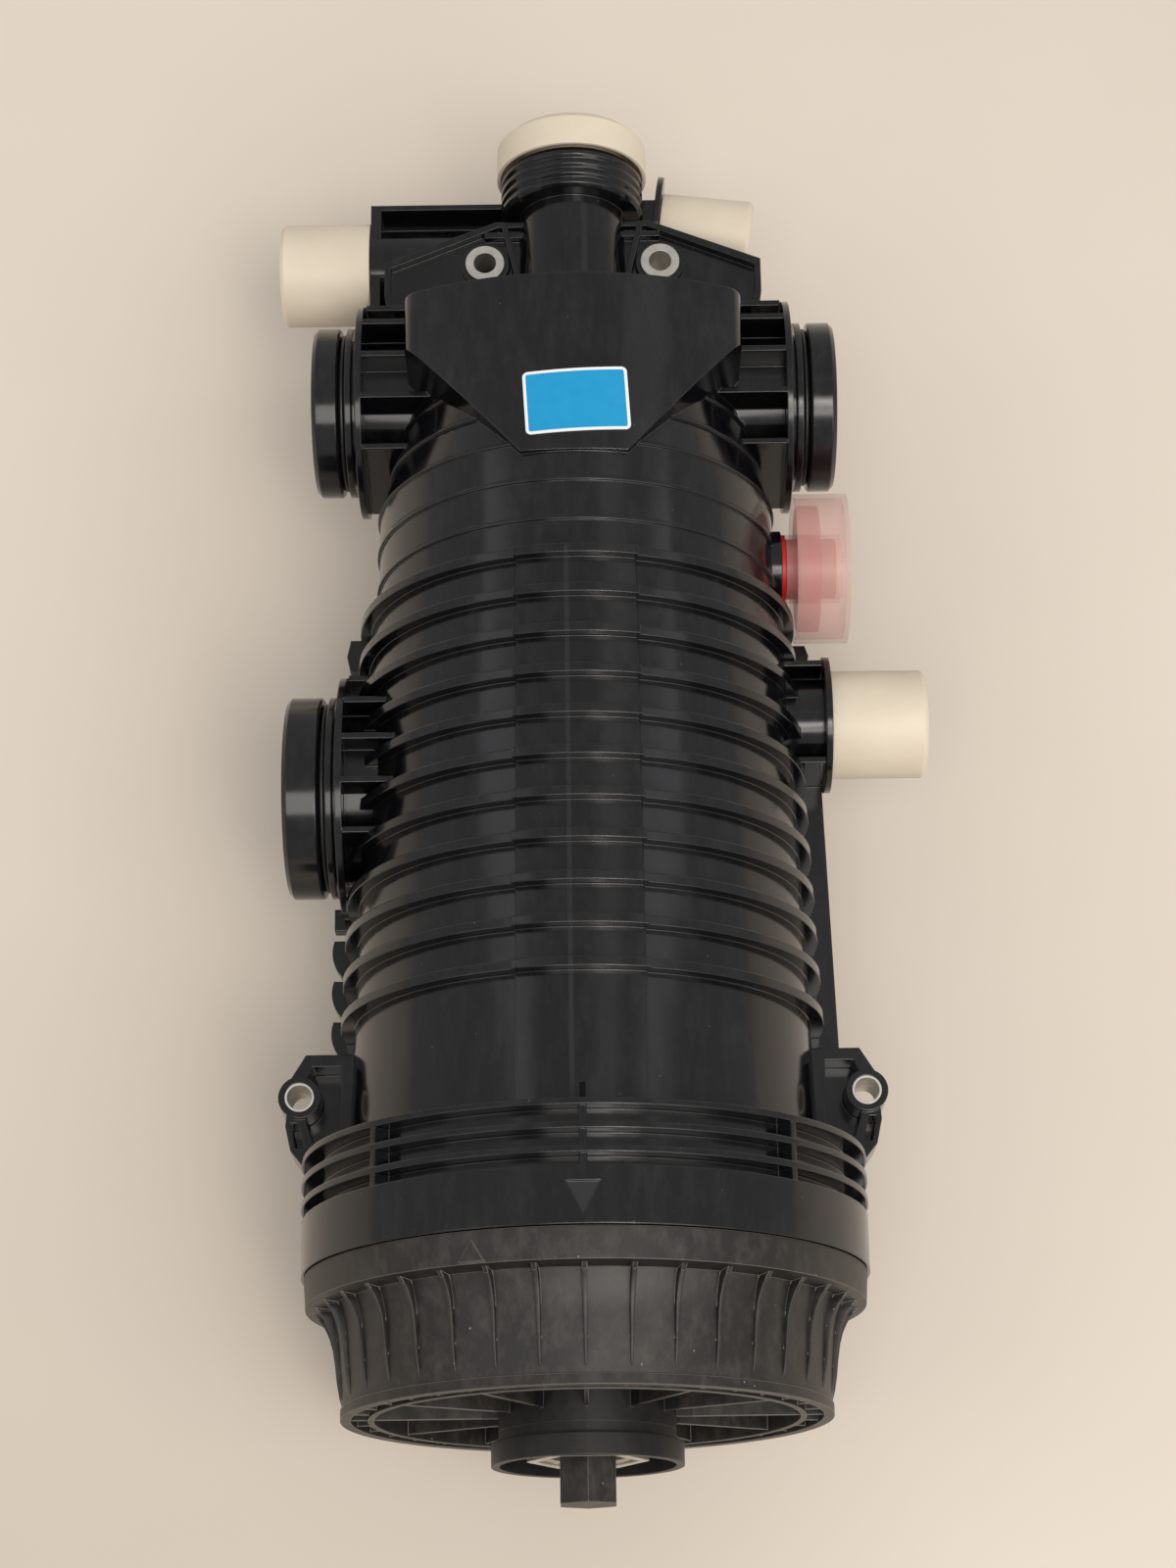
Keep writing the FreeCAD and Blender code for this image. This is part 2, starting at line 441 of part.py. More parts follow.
def makeHousing():
    body = newBody("housing")
    addShield(body)
    addPlate(body)
    addLugs(body)
    addSpigot(body, "top_left", "-", "topPortPlace", "topPortFace", "topPortRadius", "topPortCollar",
              "topPortCollarRadius", "topPortCollarWidth", "spigotDisc")
    addSpigot(body, "top_right", "", "topPortPlace", "topPortFace", "topPortRadius", "topPortCollar",
              "topPortCollarRadius", "topPortCollarWidth", "spigotDisc")
    addSpigot(body, "side", "-", "sidePortPlace", "sidePortFace", "sidePortRadius", "sidePortCollar",
              "sidePortCollarRadius", "sidePortCollarWidth", "sidePortDisc")
    addCapPorts(body)
    sleeves = newSketch(body, "sleeve_bosses", "XY_Plane", {"z": "mountPlane"})
    for side in ("", "-"):
        ring(sleeves, side + "plateBoltSpacing/2", "plateBoltPlace", "plateBossRadius")
    raised(body, "sleeve_boss", sleeves, "sleeveLength-1")
    addPanel(body)
    addBackEdges(body)
    web = newSketch(body, "collar_web_profile", "YZ_Plane")
    outline(web, [("skirtTop-1", "collarCoreRadius-4"), ("skirtTop-1", "collarRibRadius-0.6"),
                  ("collarRibTop", "collarRibRadius-0.6"), ("collarRibTop", "collarCoreRadius-4")])
    oneWeb = raised(body, "collar_web", web, "collarWebWidth", midplane=True)
    aroundAxis(body, "collar_webs", [oneWeb], "Y_Axis", "collarWebCount")
    fin = newSketch(body, "collar_fin_profile", "YZ_Plane")
    outline(fin, [("collarRibTop-1", "barrelLowRadius-2"), ("collarRibTop-1", "collarRibRadius-0.6"),
                  ("collarRibTop+11", "barrelLowRadius-2")])
    raised(body, "collar_fin", fin, "collarWebWidth", midplane=True)
    outside = newSketch(body, "housing_outside", "YZ_Plane")
    outline(outside, housingProfile())
    turned(body, "housing_moulding", outside)
    cavity = newSketch(body, "cavity_profile", "YZ_Plane")
    outline(cavity, cavityProfile())
    turned(body, "cavity", cavity, cut=True)
    topBore = "headRadius-barrelWall-12"
    sideBore = "barrelTopRadius-barrelWall-12"
    boreAcross(body, "top_bores", "topPortPlace", None, [
        [("-topPortFace-1", "0"), ("-topPortFace-1", "topPortBore"), ("-(%s)" % topBore, "topPortBore"),
         ("-(%s)" % topBore, "0")],
        [(topBore, "0"), (topBore, "topPortBore"), ("topPortFace+1", "topPortBore"), ("topPortFace+1", "0")]])
    boreAcross(body, "side_bore", "sidePortPlace", None, [
        [("-sidePortFace-1", "0"), ("-sidePortFace-1", "sidePortBore"), ("-(%s)" % sideBore, "sidePortBore"),
         ("-(%s)" % sideBore, "0")]])
    boreCapPorts(body)
    tube = newSketch(body, "head_tube_profile", "YZ_Plane")
    outline(tube, [("headTubeEnd", "headTubeBore"), ("headTubeEnd", "headTubeRadius"),
                   ("headEnd-headWall/2", "headTubeRadius"), ("headEnd-headWall/2", "headTubeBore")])
    turned(body, "head_tube", tube)
    neck = newSketch(body, "neck_bore_profile", "YZ_Plane")
    outline(neck, [("headEnd-headWall-1", "0"), ("headEnd-headWall-1", "neckBore"), ("neckEnd+1", "neckBore"),
                   ("neckEnd+1", "0")])
    turned(body, "neck_bore", neck, cut=True)
    holes = newSketch(body, "sleeve_holes", "XY_Plane", {"z": "mountPlane"})
    for side in ("", "-"):
        ring(holes, side + "plateBoltSpacing/2", "plateBoltPlace", "plateSleeveRadius")
        ring(holes, side + "lugSpacing/2", "0", "lugSleeveRadius")
    raised(body, "sleeve_hole", holes, "sleeveLength", cut=True, reverse=True)
    mark = newSketch(body, "collar_mark_outline", "XY_Plane", {"z": "skirtRadius-markDepth"})
    outline(mark, [("-markHalf", "collarMarkTop"), ("0", "collarMarkTop-markHeight"), ("markHalf", "collarMarkTop")])
    raised(body, "collar_mark", mark, "markDepth*3", cut=True, reverse=True)
    return body


def boreAcross(body, name, place, height, profiles, turn=None):
    """Cuts turned bores whose axis runs across the filter at a place along it."""
    offset = {"y": place}
    if height:
        offset["z"] = height
    sketch = newSketch(body, name + "_profile", "XY_Plane", offset, turn)
    for corners in profiles:
        outline(sketch, corners)
    turned(body, name, sketch, cut=True)


def addCapPorts(body):
    """The ports that carry plug-in caps: barrel side, head side and breather, and the indicator boss."""
    side = newSketch(body, "drain_port_profile", "XY_Plane", {"y": "drainPortPlace"})
    outline(side, [("spigotRoot", "0"), ("spigotRoot", "capPortBore+portTubeWall"),
                   ("drainPortFace-drainPlateWidth", "capPortBore+portTubeWall"),
                   ("drainPortFace-drainPlateWidth", "drainPlateRadius"), ("drainPortFace", "drainPlateRadius"),
                   ("drainPortFace", "capRadius-capWall-fitGap"),
                   ("drainPortFace+capPortLength", "capRadius-capWall-fitGap"), ("drainPortFace+capPortLength", "0")])
    turned(body, "drain_port", side)
    ribs = newSketch(body, "drain_port_ribs", "XY_Plane", {"y": "drainPortPlace"})
    for place in ("-drainPlateRadius*0.75", "0", "drainPlateRadius*0.75"):
        low, high = place + "-portRibWidth/2", place + "+portRibWidth/2"
        outline(ribs, [("spigotRoot", low), ("drainPortFace-1", low), ("drainPortFace-1", high),
                       ("spigotRoot", high)])
    raised(body, "drain_port_rib", ribs, "drainPlateRadius*1.2", midplane=True)
    block = newSketch(body, "return_port_profile", "XY_Plane", {"y": "returnPortPlace", "z": "returnPortHeight"})
    outline(block, [("-neckBore", "0"), ("-neckBore", "capPortBore+portTubeWall"),
                    ("-returnPortFace", "capPortBore+portTubeWall"), ("-returnPortFace", "capRadius-capWall-fitGap"),
                    ("-returnPortFace-capPortLength", "capRadius-capWall-fitGap"),
                    ("-returnPortFace-capPortLength", "0")])
    turned(body, "return_port", block)
    box = newSketch(body, "return_box_outline", "XY_Plane", {"z": "plateFace-plateThickness"})
    bottom = "returnPortPlace-returnBlockHalf"
    outline(box, [("-returnPortFace", bottom), ("-returnPortFace", "returnBlockTop"),
                  ("-returnPortFace+portTubeWall", "returnBlockTop"), ("-returnPortFace+portTubeWall", bottom)])
    raised(body, "return_end_plate", box, "returnBlockDepth", reverse=True)
    plates = newSketch(body, "return_plate_outlines", "XY_Plane", {"z": "plateFace-plateThickness"})
    for step in range(4):
        low = "%s+%d*(returnBlockTop-(%s)-portRibWidth)/3" % (bottom, step, bottom)
        outline(plates, [("-returnPortFace", low), ("-neckRadius*0.5", low),
                         ("-neckRadius*0.5", low + "+portRibWidth"), ("-returnPortFace", low + "+portRibWidth")])
    raised(body, "return_plates", plates, "returnBlockDepth", reverse=True)
    back = newSketch(body, "return_web_outline", "XY_Plane", {"z": "plateFace-plateThickness-returnBlockDepth/2"})
    outline(back, [("-returnPortFace", bottom), ("-neckRadius*0.5", bottom),
                   ("-neckRadius*0.5", "returnBlockTop"), ("-returnPortFace", "returnBlockTop")])
    raised(body, "return_web", back, "portRibWidth", midplane=True)
    breather = newSketch(body, "breather_profile", "XY_Plane", {"y": "breatherPlace", "z": "breatherHeight"},
                         (Vector(0, 0, 1), "-breatherTilt"))
    inner = "breatherCapRadius-capWall-fitGap"
    outline(breather, [("breatherFlange-drainPlateWidth", "0"),
                       ("breatherFlange-drainPlateWidth", "breatherFlangeRadius"),
                       ("breatherFlange", "breatherFlangeRadius"), ("breatherFlange", inner),
                       ("breatherFlange+capPortLength", inner), ("breatherFlange+capPortLength", "0")])
    turned(body, "breather_port", breather)
    block = newSketch(body, "breather_block_outline", "XY_Plane", {"z": "breatherHeight"})
    low = "breatherBlockTop-breatherBlockDepth"
    outline(block, [("neckBore*0.6", low), ("breatherFlange-4.5", low),
                    ("breatherFlange-1", "breatherBlockTop"), ("neckBore*0.6", "breatherBlockTop")])
    raised(body, "breather_block", block, "breatherBlockDepth", midplane=True)
    boss = newSketch(body, "indicator_profile", "XY_Plane", {"y": "indicatorPlace"})
    outline(boss, [("spigotRoot", "0"), ("spigotRoot", "indicatorBossRadius"), ("indicatorFace", "indicatorBossRadius"),
                   ("indicatorFace", "0")])
    turned(body, "indicator_boss", boss)


def boreCapPorts(body):
    """The bores of the capped ports and the indicator's socket."""
    start = "barrelTopRadius-barrelWall-12"
    stop = "drainPortFace+capPortLength+1"
    boreAcross(body, "drain_port_bore", "drainPortPlace", None, [
        [(start, "0"), (start, "capPortBore"), (stop, "capPortBore"), (stop, "0")]])
    start = "upperRadius-barrelWall-8"
    stop = "indicatorFace+1"
    boreAcross(body, "indicator_bore", "indicatorPlace", None, [
        [(start, "0"), (start, "plugShank+fitGap"), (stop, "plugShank+fitGap"), (stop, "0")]])
    stop = "-returnPortFace-capPortLength-1"
    boreAcross(body, "return_bore", "returnPortPlace", "returnPortHeight", [
        [("-neckBore*0.6", "0"), ("-neckBore*0.6", "capPortBore*0.7"), ("-returnPortFace", "capPortBore*0.7"),
         ("-returnPortFace", "capPortBore"), (stop, "capPortBore"), (stop, "0")]])
    stop = "breatherFlange+capPortLength+1"
    boreAcross(body, "breather_bore", "breatherPlace", "breatherHeight", [
        [("neckBore*1.2", "0"), ("neckBore*1.2", "breatherBore"), (stop, "breatherBore"), (stop, "0")]],
        (Vector(0, 0, 1), "-breatherTilt"))


def makeCover():
    """The screw-on cover: spigot, band, concave finned wall, ribbed end and hub cup."""
    body = newBody("cover")
    face = "mouthPlace-faceGap"
    wallIn = "coverThroat-finRise-coverWall"
    profile = newSketch(body, "cover_profile", "YZ_Plane")
    outline(profile, [
        ("spigotEnd", "spigotRadius-spigotWall"), ("spigotEnd", "spigotRadius-1"), ("spigotEnd-1", "spigotRadius"),
        ("coverSealPlace+coverSealGroove/2", "spigotRadius"),
        ("coverSealPlace+coverSealGroove/2", "mouthBore-coverSealSection+sealSqueeze"),
        ("coverSealPlace-coverSealGroove/2", "mouthBore-coverSealSection+sealSqueeze"),
        ("coverSealPlace-coverSealGroove/2", "spigotRadius"), (face, "spigotRadius"), (face, "coverBandRadius"),
        ("coverBandEnd", "coverBandRadius-0.7"), ("coverBandEnd-1", "coverThroat+finRise"),
        ("coverThroatPlace", "coverThroat-0.6"), ("coverEnd+coverRimHeight", "coverEndRadius-coverRimStep"),
        ("coverEnd+coverRimHeight", "coverEndRadius"), ("coverEnd", "coverEndRadius"),
        ("coverEnd", "coverEndRadius-coverRimWidth"), ("coverEnd+coverRecess", "coverEndRadius-coverRimWidth"),
        ("coverEnd+coverRecess", "coverRingRadius"), ("coverEnd", "coverRingRadius"),
        ("coverEnd", "coverRingRadius-coverRingWidth"), ("coverWebPlace", "coverRingRadius-coverRingWidth"),
        ("coverWebPlace", "hubStepRadius"), ("hubStep", "hubStepRadius"), ("hubStep", "hubRadius"),
        ("hubEnd", "hubRadius"), ("hubEnd", "hubRadius-hubWall"), ("hubFloor", "hubRadius-hubWall"),
        ("hubFloor", "bushBore"), ("hubInner", "bushBore"), ("hubInner", "hubStepRadius-hubWall*2"),
        ("coverWebPlace+coverWebThickness", "hubStepRadius-hubWall*2"),
        ("supportEnd", "supportRadius-coverRingWidth"), ("supportEnd", "supportRadius"),
        ("coverWebPlace+coverWebThickness", "supportRadius"), ("coverWebPlace+coverWebThickness", wallIn),
        ("coverThroatPlace", wallIn), ("coverBandEnd", "spigotRadius-spigotWall")],
        {10: ("coverSweep*2", "left")})
    turned(body, "cover_turned", profile)
    fin = newSketch(body, "fin_profile", "YZ_Plane")
    outline(fin, [("coverBandEnd+1", "coverThroat-finRise"), ("coverBandEnd+1", "coverBandRadius-1.5"),
                  ("finEnd", "coverThroat-0.9"), ("finEnd", "coverThroat-finRise")],
            {1: ("coverSweep", "left")})
    oneFin = raised(body, "fin", fin, "finWidth", midplane=True)
    aroundAxis(body, "fins", [oneFin], "Y_Axis", "finCount")
    rib = newSketch(body, "cover_rib_profile", "YZ_Plane")
    outline(rib, [("coverWebPlace+1", "hubStepRadius-1"), ("coverEnd+1", "hubStepRadius-1"),
                  ("coverEnd+1", "coverRingRadius-1"), ("coverWebPlace+1", "coverRingRadius-1")])
    oneRib = raised(body, "cover_rib", rib, "coverRibWidth", midplane=True)
    aroundAxis(body, "cover_ribs", [oneRib], "Y_Axis", "coverRibCount")
    web = newSketch(body, "rim_web_profile", "YZ_Plane")
    outline(web, [("coverEnd+coverRecess+1", "coverRingRadius-1"), ("coverEnd+1", "coverRingRadius-1"),
                  ("coverEnd+1", "coverEndRadius-1"), ("coverEnd+coverRecess+1", "coverEndRadius-1")])
    oneWeb = raised(body, "rim_web", web, "coverRibWidth", midplane=True)
    aroundAxis(body, "rim_webs", [oneWeb], "Y_Axis", "finCount")
    root = "(coverBandRadius-2)"
    mark = newSketch(body, "cover_mark_outline", "XY_Plane",
                     {"x": "-%s*sin(coverMarkAngle)" % root, "z": "%s*cos(coverMarkAngle)" % root},
                     (Vector(0, 1, 0), "-coverMarkAngle"))
    outline(mark, [("-markHalf*0.8", "coverBandEnd+0.5"), ("0", "coverBandEnd+0.5+markHeight*0.65"),
                   ("markHalf*0.8", "coverBandEnd+0.5")])
    raised(body, "cover_mark", mark, "2+markDepth")
    return body


def sealRing(label, place, inner, section, role="YZ_Plane", offset=None, side=""):
    """An O-ring of round section about an axis through the body's origin or an offset place."""
    body = newBody(label)
    sketch = newSketch(body, label + "_section", role, offset)
    ring(sketch, side + "(%s)" % place, "%s+(%s)/2" % (inner, section), "(%s)/2" % section)
    turned(body, label + "_ring", sketch)
    return body


def makeCoverSeal():
    """The seal in the cover's groove, pressed to the bore's size by the mouth."""
    body = newBody("cover_seal")
    sketch = newSketch(body, "cover_seal_section", "YZ_Plane")
    inner = "mouthBore-coverSealSection+sealSqueeze"
    half = "coverSealSection/2-sealSqueeze/2-sealGap"
    low, high = inner + "+sealGap", "mouthBore-sealGap"
    place = "coverSealPlace"
    outline(sketch, [(place + "-1.2", low), (place + "+1.2", low), (place + "+2.2", low + "+1.2"),
                     (place + "+2.2", high + "-1.2"), (place + "+1.2", high), (place + "-1.2", high),
                     (place + "-2.2", high + "-1.2"), (place + "-2.2", low + "+1.2")])
    turned(body, "cover_seal_ring", sketch)
    return body


def hexagon(sketch, flats):
    """A hexagon about the sketch's origin, given the distance across its flats."""
    corners = []
    for step in range(6):
        x = math.cos(math.radians(60 * step + 30))
        y = math.sin(math.radians(60 * step + 30))
        corners.append(("%s*%.6f" % (flats, x / math.sqrt(3)), "%s*%.6f" % (flats, y / math.sqrt(3))))
    outline(sketch, [(x, y) for x, y in corners])


def makeDrain():
    """The hexagonal bush in the hub, the drain plug and the plug's seal."""
    bush = newBody("drain_bush")
    plate = newSketch(bush, "bush_hexagon", "XZ_Plane", {"z": "-hubFloor"})
    hexagon(plate, "bushFlats")
    raised(bush, "bush_plate", plate, "bushThickness")
    hole = newSketch(bush, "bush_profile", "YZ_Plane")
    outline(hole, [("hubFloor-bushThickness-1", "0"), ("hubFloor-bushThickness-1", "bushBore"),
                   ("hubFloor+1", "bushBore"), ("hubFloor+1", "0")])
    turned(bush, "bush_bore", hole, cut=True)
    simpleTurned("drain_seal", [("bushFace-sealLift", "bushBore+0.2"), ("bushFace-sealLift", "drainSealRadius"),
                                ("bushFace-sealLift-drainSealSection", "drainSealRadius"),
                                ("bushFace-sealLift-drainSealSection", "bushBore+0.2")])
    plug = newBody("drain_plug")
    head = newSketch(plug, "plug_hexagon", "XZ_Plane", {"z": "-(bushFace-drainSealSection-sealLift*2)"})
    hexagon(head, "plugHexFlats")
    raised(plug, "plug_head", head, "bushFace-drainSealSection-sealLift*2-plugHexEnd")
    shank = newSketch(plug, "plug_shank_profile", "YZ_Plane")
    outline(shank, [("bushFace-drainSealSection-1", "0"), ("bushFace-drainSealSection-1", "drainShank"),
                    ("drainShankEnd-1", "drainShank"), ("drainShankEnd", "drainShank-1"), ("drainShankEnd", "0")])
    turned(plug, "plug_shank", shank)
    return plug


def makeElement():
    """The filter element: two end caps, pleated medium, perforated core and its seal."""
    simpleTurned("element_lower_cap", [
        ("mediaStart-elementCapThickness", "headTubeBore"), ("mediaStart-elementCapThickness", "elementCapRadius"),
        ("mediaStart+2", "elementCapRadius"), ("mediaStart+2", "elementCapRadius-1.5"),
        ("mediaStart", "elementCapRadius-1.5"), ("mediaStart", "headTubeRadius"),
        ("mediaStart+valveSocket", "headTubeRadius"), ("mediaStart+valveSocket", "headTubeBore")])
    simpleTurned("element_upper_cap", [
        ("mediaEnd", "headTubeRadius+sealSeat"), ("mediaEnd", "elementCapRadius-1.5"),
        ("mediaEnd-2", "elementCapRadius-1.5"), ("mediaEnd-2", "elementCapRadius"),
        ("mediaEnd+elementCapThickness", "elementCapRadius"), ("mediaEnd+elementCapThickness", "headTubeRadius+6"),
        ("mediaEnd+elementNeck", "headTubeRadius+6"), ("mediaEnd+elementNeck", "headTubeRadius+0.3"),
        ("mediaEnd+elementNeck-3", "headTubeRadius+0.3"), ("mediaEnd+elementNeck-3", "headTubeRadius+sealSeat"),
        ("mediaEnd+elementNeck-3-elementSealSection", "headTubeRadius+sealSeat"),
        ("mediaEnd+elementNeck-3-elementSealSection", "headTubeRadius+0.3"),
        ("headTubeEnd", "headTubeRadius+0.3"), ("headTubeEnd", "headTubeRadius+sealSeat")])
    sealRing("element_seal", "mediaEnd+elementNeck-3-elementSealSection/2", "headTubeRadius", "sealSeat")
    media = newBody("element_media")
    star = newSketch(media, "media_outline", "XZ_Plane", {"z": "-mediaStart"})
    corners = []
    count = int(amount("pleatCount"))
    for step in range(count * 2):
        angle = math.pi * step / count
        reach = "mediaRadius" if step % 2 == 0 else "(mediaRadius-pleatDepth)"
        corners.append(("%s*%.6f" % (reach, math.cos(angle)), "%s*%.6f" % (reach, math.sin(angle))))
    outline(star, corners)
    ring(star, "0", "0", "coreRadius+0.2")
    raised(media, "media_pleats", star, "mediaEnd-mediaStart", reverse=True)
    core = newBody("element_core")
    tube = newSketch(core, "core_profile", "YZ_Plane")
    outline(tube, [("mediaStart", "coreRadius-coreWall"), ("mediaStart", "coreRadius"), ("mediaEnd", "coreRadius"),
                   ("mediaEnd", "coreRadius-coreWall")])
    turned(core, "core_tube", tube)
    holes = newSketch(core, "core_holes", "XY_Plane")
    rows = int(amount("coreHoleRows"))
    for row in range(rows):
        place = "mediaStart+(mediaEnd-mediaStart)*%d/(coreHoleRows*2)" % (2 * row + 1)
        ring(holes, "0", place, "coreHoleRadius")
    cut = raised(core, "core_hole_row", holes, "coreRadius*2+4", cut=True, midplane=True)
    pattern = aroundAxis(core, "core_hole_rows", [cut], "Y_Axis", "coreHoleColumns")
    pattern.Angle = 180


def makeValve(label, base):
    """A poppet valve in a tube: seat ring, poppet with its stem, guide cage and spring."""
    seat = "(%s)" % base
    simpleTurned(label + "_seat", [
        (seat, "valveSeatBore"), (seat, "headTubeBore-fitGap"), (seat + "+valveSeatThickness", "headTubeBore-fitGap"),
        (seat + "+valveSeatThickness", "valveSeatBore+1.5"), (seat + "+valveSeatThickness-1.5", "valveSeatBore")])
    disc = seat + "+valveSeatThickness+valveLift"
    stem = disc + "+valveDiscThickness+valveStemLength"
    simpleTurned(label + "_poppet", [
        (disc + "-1", "0"), (disc + "-1", "valveSeatBore-2"), (disc, "valveSeatBore-1"), (disc, "valveDiscRadius"),
        (disc + "+valveDiscThickness", "valveDiscRadius"), (disc + "+valveDiscThickness", "valveStemRadius"),
        (stem + "-1", "valveStemRadius"), (stem, "valveStemRadius-1"), (stem, "0")])
    guide = disc + "+valveDiscThickness+springLength"
    cage = newBody(label + "_cage")
    hub = newSketch(cage, label + "_hub_profile", "YZ_Plane")
    outline(hub, [(guide, "valveStemRadius+fitGap"), (guide, "guideRadius+6"), (guide + "+2", "guideRadius+6"),
                  (guide + "+2", "guideRadius"), (guide + "+guideLength", "guideRadius"),
                  (guide + "+guideLength", "valveStemRadius+fitGap")])
    turned(cage, label + "_hub", hub)
    foot = newSketch(cage, label + "_foot_profile", "YZ_Plane")
    low = seat + "+valveSeatThickness"
    outline(foot, [(low, "valveDiscRadius+2.5"), (low, "headTubeBore-fitGap"), (low + "+3", "headTubeBore-fitGap"),
                   (low + "+3", "valveDiscRadius+2.5")])
    turned(cage, label + "_foot", foot)
    leg = newSketch(cage, label + "_leg_profile", "YZ_Plane")
    outline(leg, [(low + "+1", "valveDiscRadius+2.7"), (low + "+1", "headTubeBore-fitGap-0.2"),
                  (guide + "+2", "headTubeBore-fitGap-0.2"), (guide + "+2", "guideRadius+4"),
                  (guide, "guideRadius+4"), (guide, "valveDiscRadius+2.7")])
    oneLeg = raised(cage, label + "_leg", leg, "guideRadius", midplane=True)
    aroundAxis(cage, label + "_legs", [oneLeg], "Y_Axis", "cageLegs")
    start = amount(disc + "+valveDiscThickness") + amount("springWire") / 2 + amount("sealLift")
    length = amount("springLength") - amount("springWire") - 2 * amount("sealLift")
    turns = amount("springTurns")
    coil = Part.makeHelix(length / turns, length, amount("springRadius"))
    coil.Placement = Placement(Vector(0, start, 0), Rotation(Vector(1, 0, 0), -90))
    edge = coil.Edges[0]
    first = edge.valueAt(edge.FirstParameter)
    tangent = edge.tangentAt(edge.FirstParameter)
    outward = Vector(first.x, 0, first.z).normalize()
    across = tangent.cross(outward)
    wire = amount("springWire") / 2
    corners = [first + outward * (wire * math.cos(math.pi * step / 4)) + across * (wire * math.sin(math.pi * step / 4))
               for step in range(9)]
    section = Part.makePolygon(corners)
    spring = doc.addObject("Part::Feature", label + "_spring")
    spring.Label = label + "_spring"
    spring.Shape = Part.Wire(coil.Edges).makePipeShell([section], True, True)


def makeSleeves():
    """The steel sleeves in the lugs and in the bracket plate."""
    for label, place, spacing, radius in (
            ("collar_sleeves", "0", "lugSpacing", "lugSleeveRadius-sleeveFit"),
            ("plate_sleeves", "plateBoltPlace", "plateBoltSpacing", "plateSleeveRadius-sleeveFit")):
        body = newBody(label)
        for side in ("", "-"):
            outside = newSketch(body, label + ("_right" if side else "_left"), "XY_Plane", {"z": "mountPlane"})
            ring(outside, side + spacing + "/2", place, radius)
            ring(outside, side + spacing + "/2", place, "sleeveBore")
            raised(body, label + ("_tube_right" if side else "_tube_left"), outside, "sleeveLength+0.3")
        body.AllowCompound = True


def portSeals(label, ports):
    """The O-rings in the grooves behind the sealing discs of the hose spigots."""
    body = newBody(label)
    for name, side, place, face, disc, radius in ports:
        sketch = newSketch(body, label + name, "XY_Plane", {"y": place})
        ring(sketch, side + "(%s-%s-spigotGroove/2)" % (face, disc), radius + "-spigotGrooveDepth+spigotGroove/2",
             "spigotGroove/2-sealGap")
        turned(body, label + name + "_ring", sketch)
    return body


def cup(label, offset, direction, face, length, radius, wall, turn=None, edge="capEdge"):
    """A plug-in cap: a thin cup whose open end stands on the port's face."""
    body = newBody(label)
    sketch = newSketch(body, label + "_profile", "XY_Plane", offset, turn)
    open_ = face + "+faceGap"
    corners = [(open_, radius + "-" + wall), (open_, radius), (face + "+%s-%s" % (length, edge), radius),
               (face + "+" + length, radius + "-" + edge), (face + "+" + length, "0"),
               (face + "+%s-%s" % (length, wall), "0"), (face + "+%s-%s" % (length, wall), radius + "-" + wall)]
    outline(sketch, [(direction + "(%s)" % x, y) for x, y in corners])
    turned(body, label + "_cup", sketch)
    return body


def makeCaps():
    cup("side_port_cap", {"y": "drainPortPlace"}, "", "drainPortFace", "capLength", "capRadius", "capWall")
    cup("head_port_cap", {"y": "returnPortPlace", "z": "returnPortHeight"}, "-", "returnPortFace", "capLength",
        "capRadius", "capWall")
    cup("breather_cap", {"y": "breatherPlace", "z": "breatherHeight"}, "", "breatherFlange", "breatherCapLength",
        "breatherCapRadius", "capWall", (Vector(0, 0, 1), "-breatherTilt"))
    shank = "neckBore-fitGap"
    simpleTurned("neck_cap", [
        ("neckEnd-neckPlug", shank + "-neckCapWall"), ("neckEnd-neckPlug", shank), ("neckEnd+faceGap", shank),
        ("neckEnd+faceGap", "neckBore+4"), ("neckCapTop-neckCapWall*2", "neckBore+4"),
        ("neckCapTop-neckCapWall*2", "neckCapRadius-neckCapWall"), ("neckEnd+faceGap", "neckCapRadius-neckCapWall"),
        ("neckEnd+faceGap", "neckCapRadius"), ("neckCapTop-capEdge*2", "neckCapRadius"),
        ("neckCapTop", "neckCapRadius-capEdge*2"), ("neckCapTop", "0"), ("neckCapTop-neckCapWall", "0"),
        ("neckCapTop-neckCapWall", shank + "-neckCapWall")])
    plug = newBody("indicator_plug")
    sketch = newSketch(plug, "indicator_plug_profile", "XY_Plane", {"y": "indicatorPlace"})
    outline(sketch, [("indicatorFace-plugThread", "0"), ("indicatorFace-plugThread", "plugShank"),
                     ("indicatorFace", "plugShank"), ("indicatorFace", "plugFlangeRadius"),
                     ("indicatorFace+plugFlange", "plugFlangeRadius"), ("indicatorFace+plugFlange", "plugRadius"),
                     ("plugEnd", "plugRadius"), ("plugEnd", "0")])
    turned(plug, "indicator_plug_turned", sketch)
    clear = newBody("indicator_cap")
    sketch = newSketch(clear, "indicator_cap_profile", "XY_Plane", {"y": "indicatorPlace"})
    seat = "indicatorFace+plugFlange+faceGap"
    outline(sketch, [(seat, "plugRadius+fitGap"), (seat, "plugRadius+fitGap+clearWall"),
                     ("clearEnd-clearWall", "plugRadius+fitGap+clearWall"),
                     ("clearEnd-clearWall", "clearRadius-clearWall"),
                     ("clearRim", "clearRadius-clearWall"), ("clearRim", "clearRadius"), ("clearEnd", "clearRadius"),
                     ("clearEnd", "0"), ("clearEnd-clearWall", "0"), ("clearEnd-clearWall", "plugRadius+fitGap")])
    turned(clear, "indicator_cap_turned", sketch)


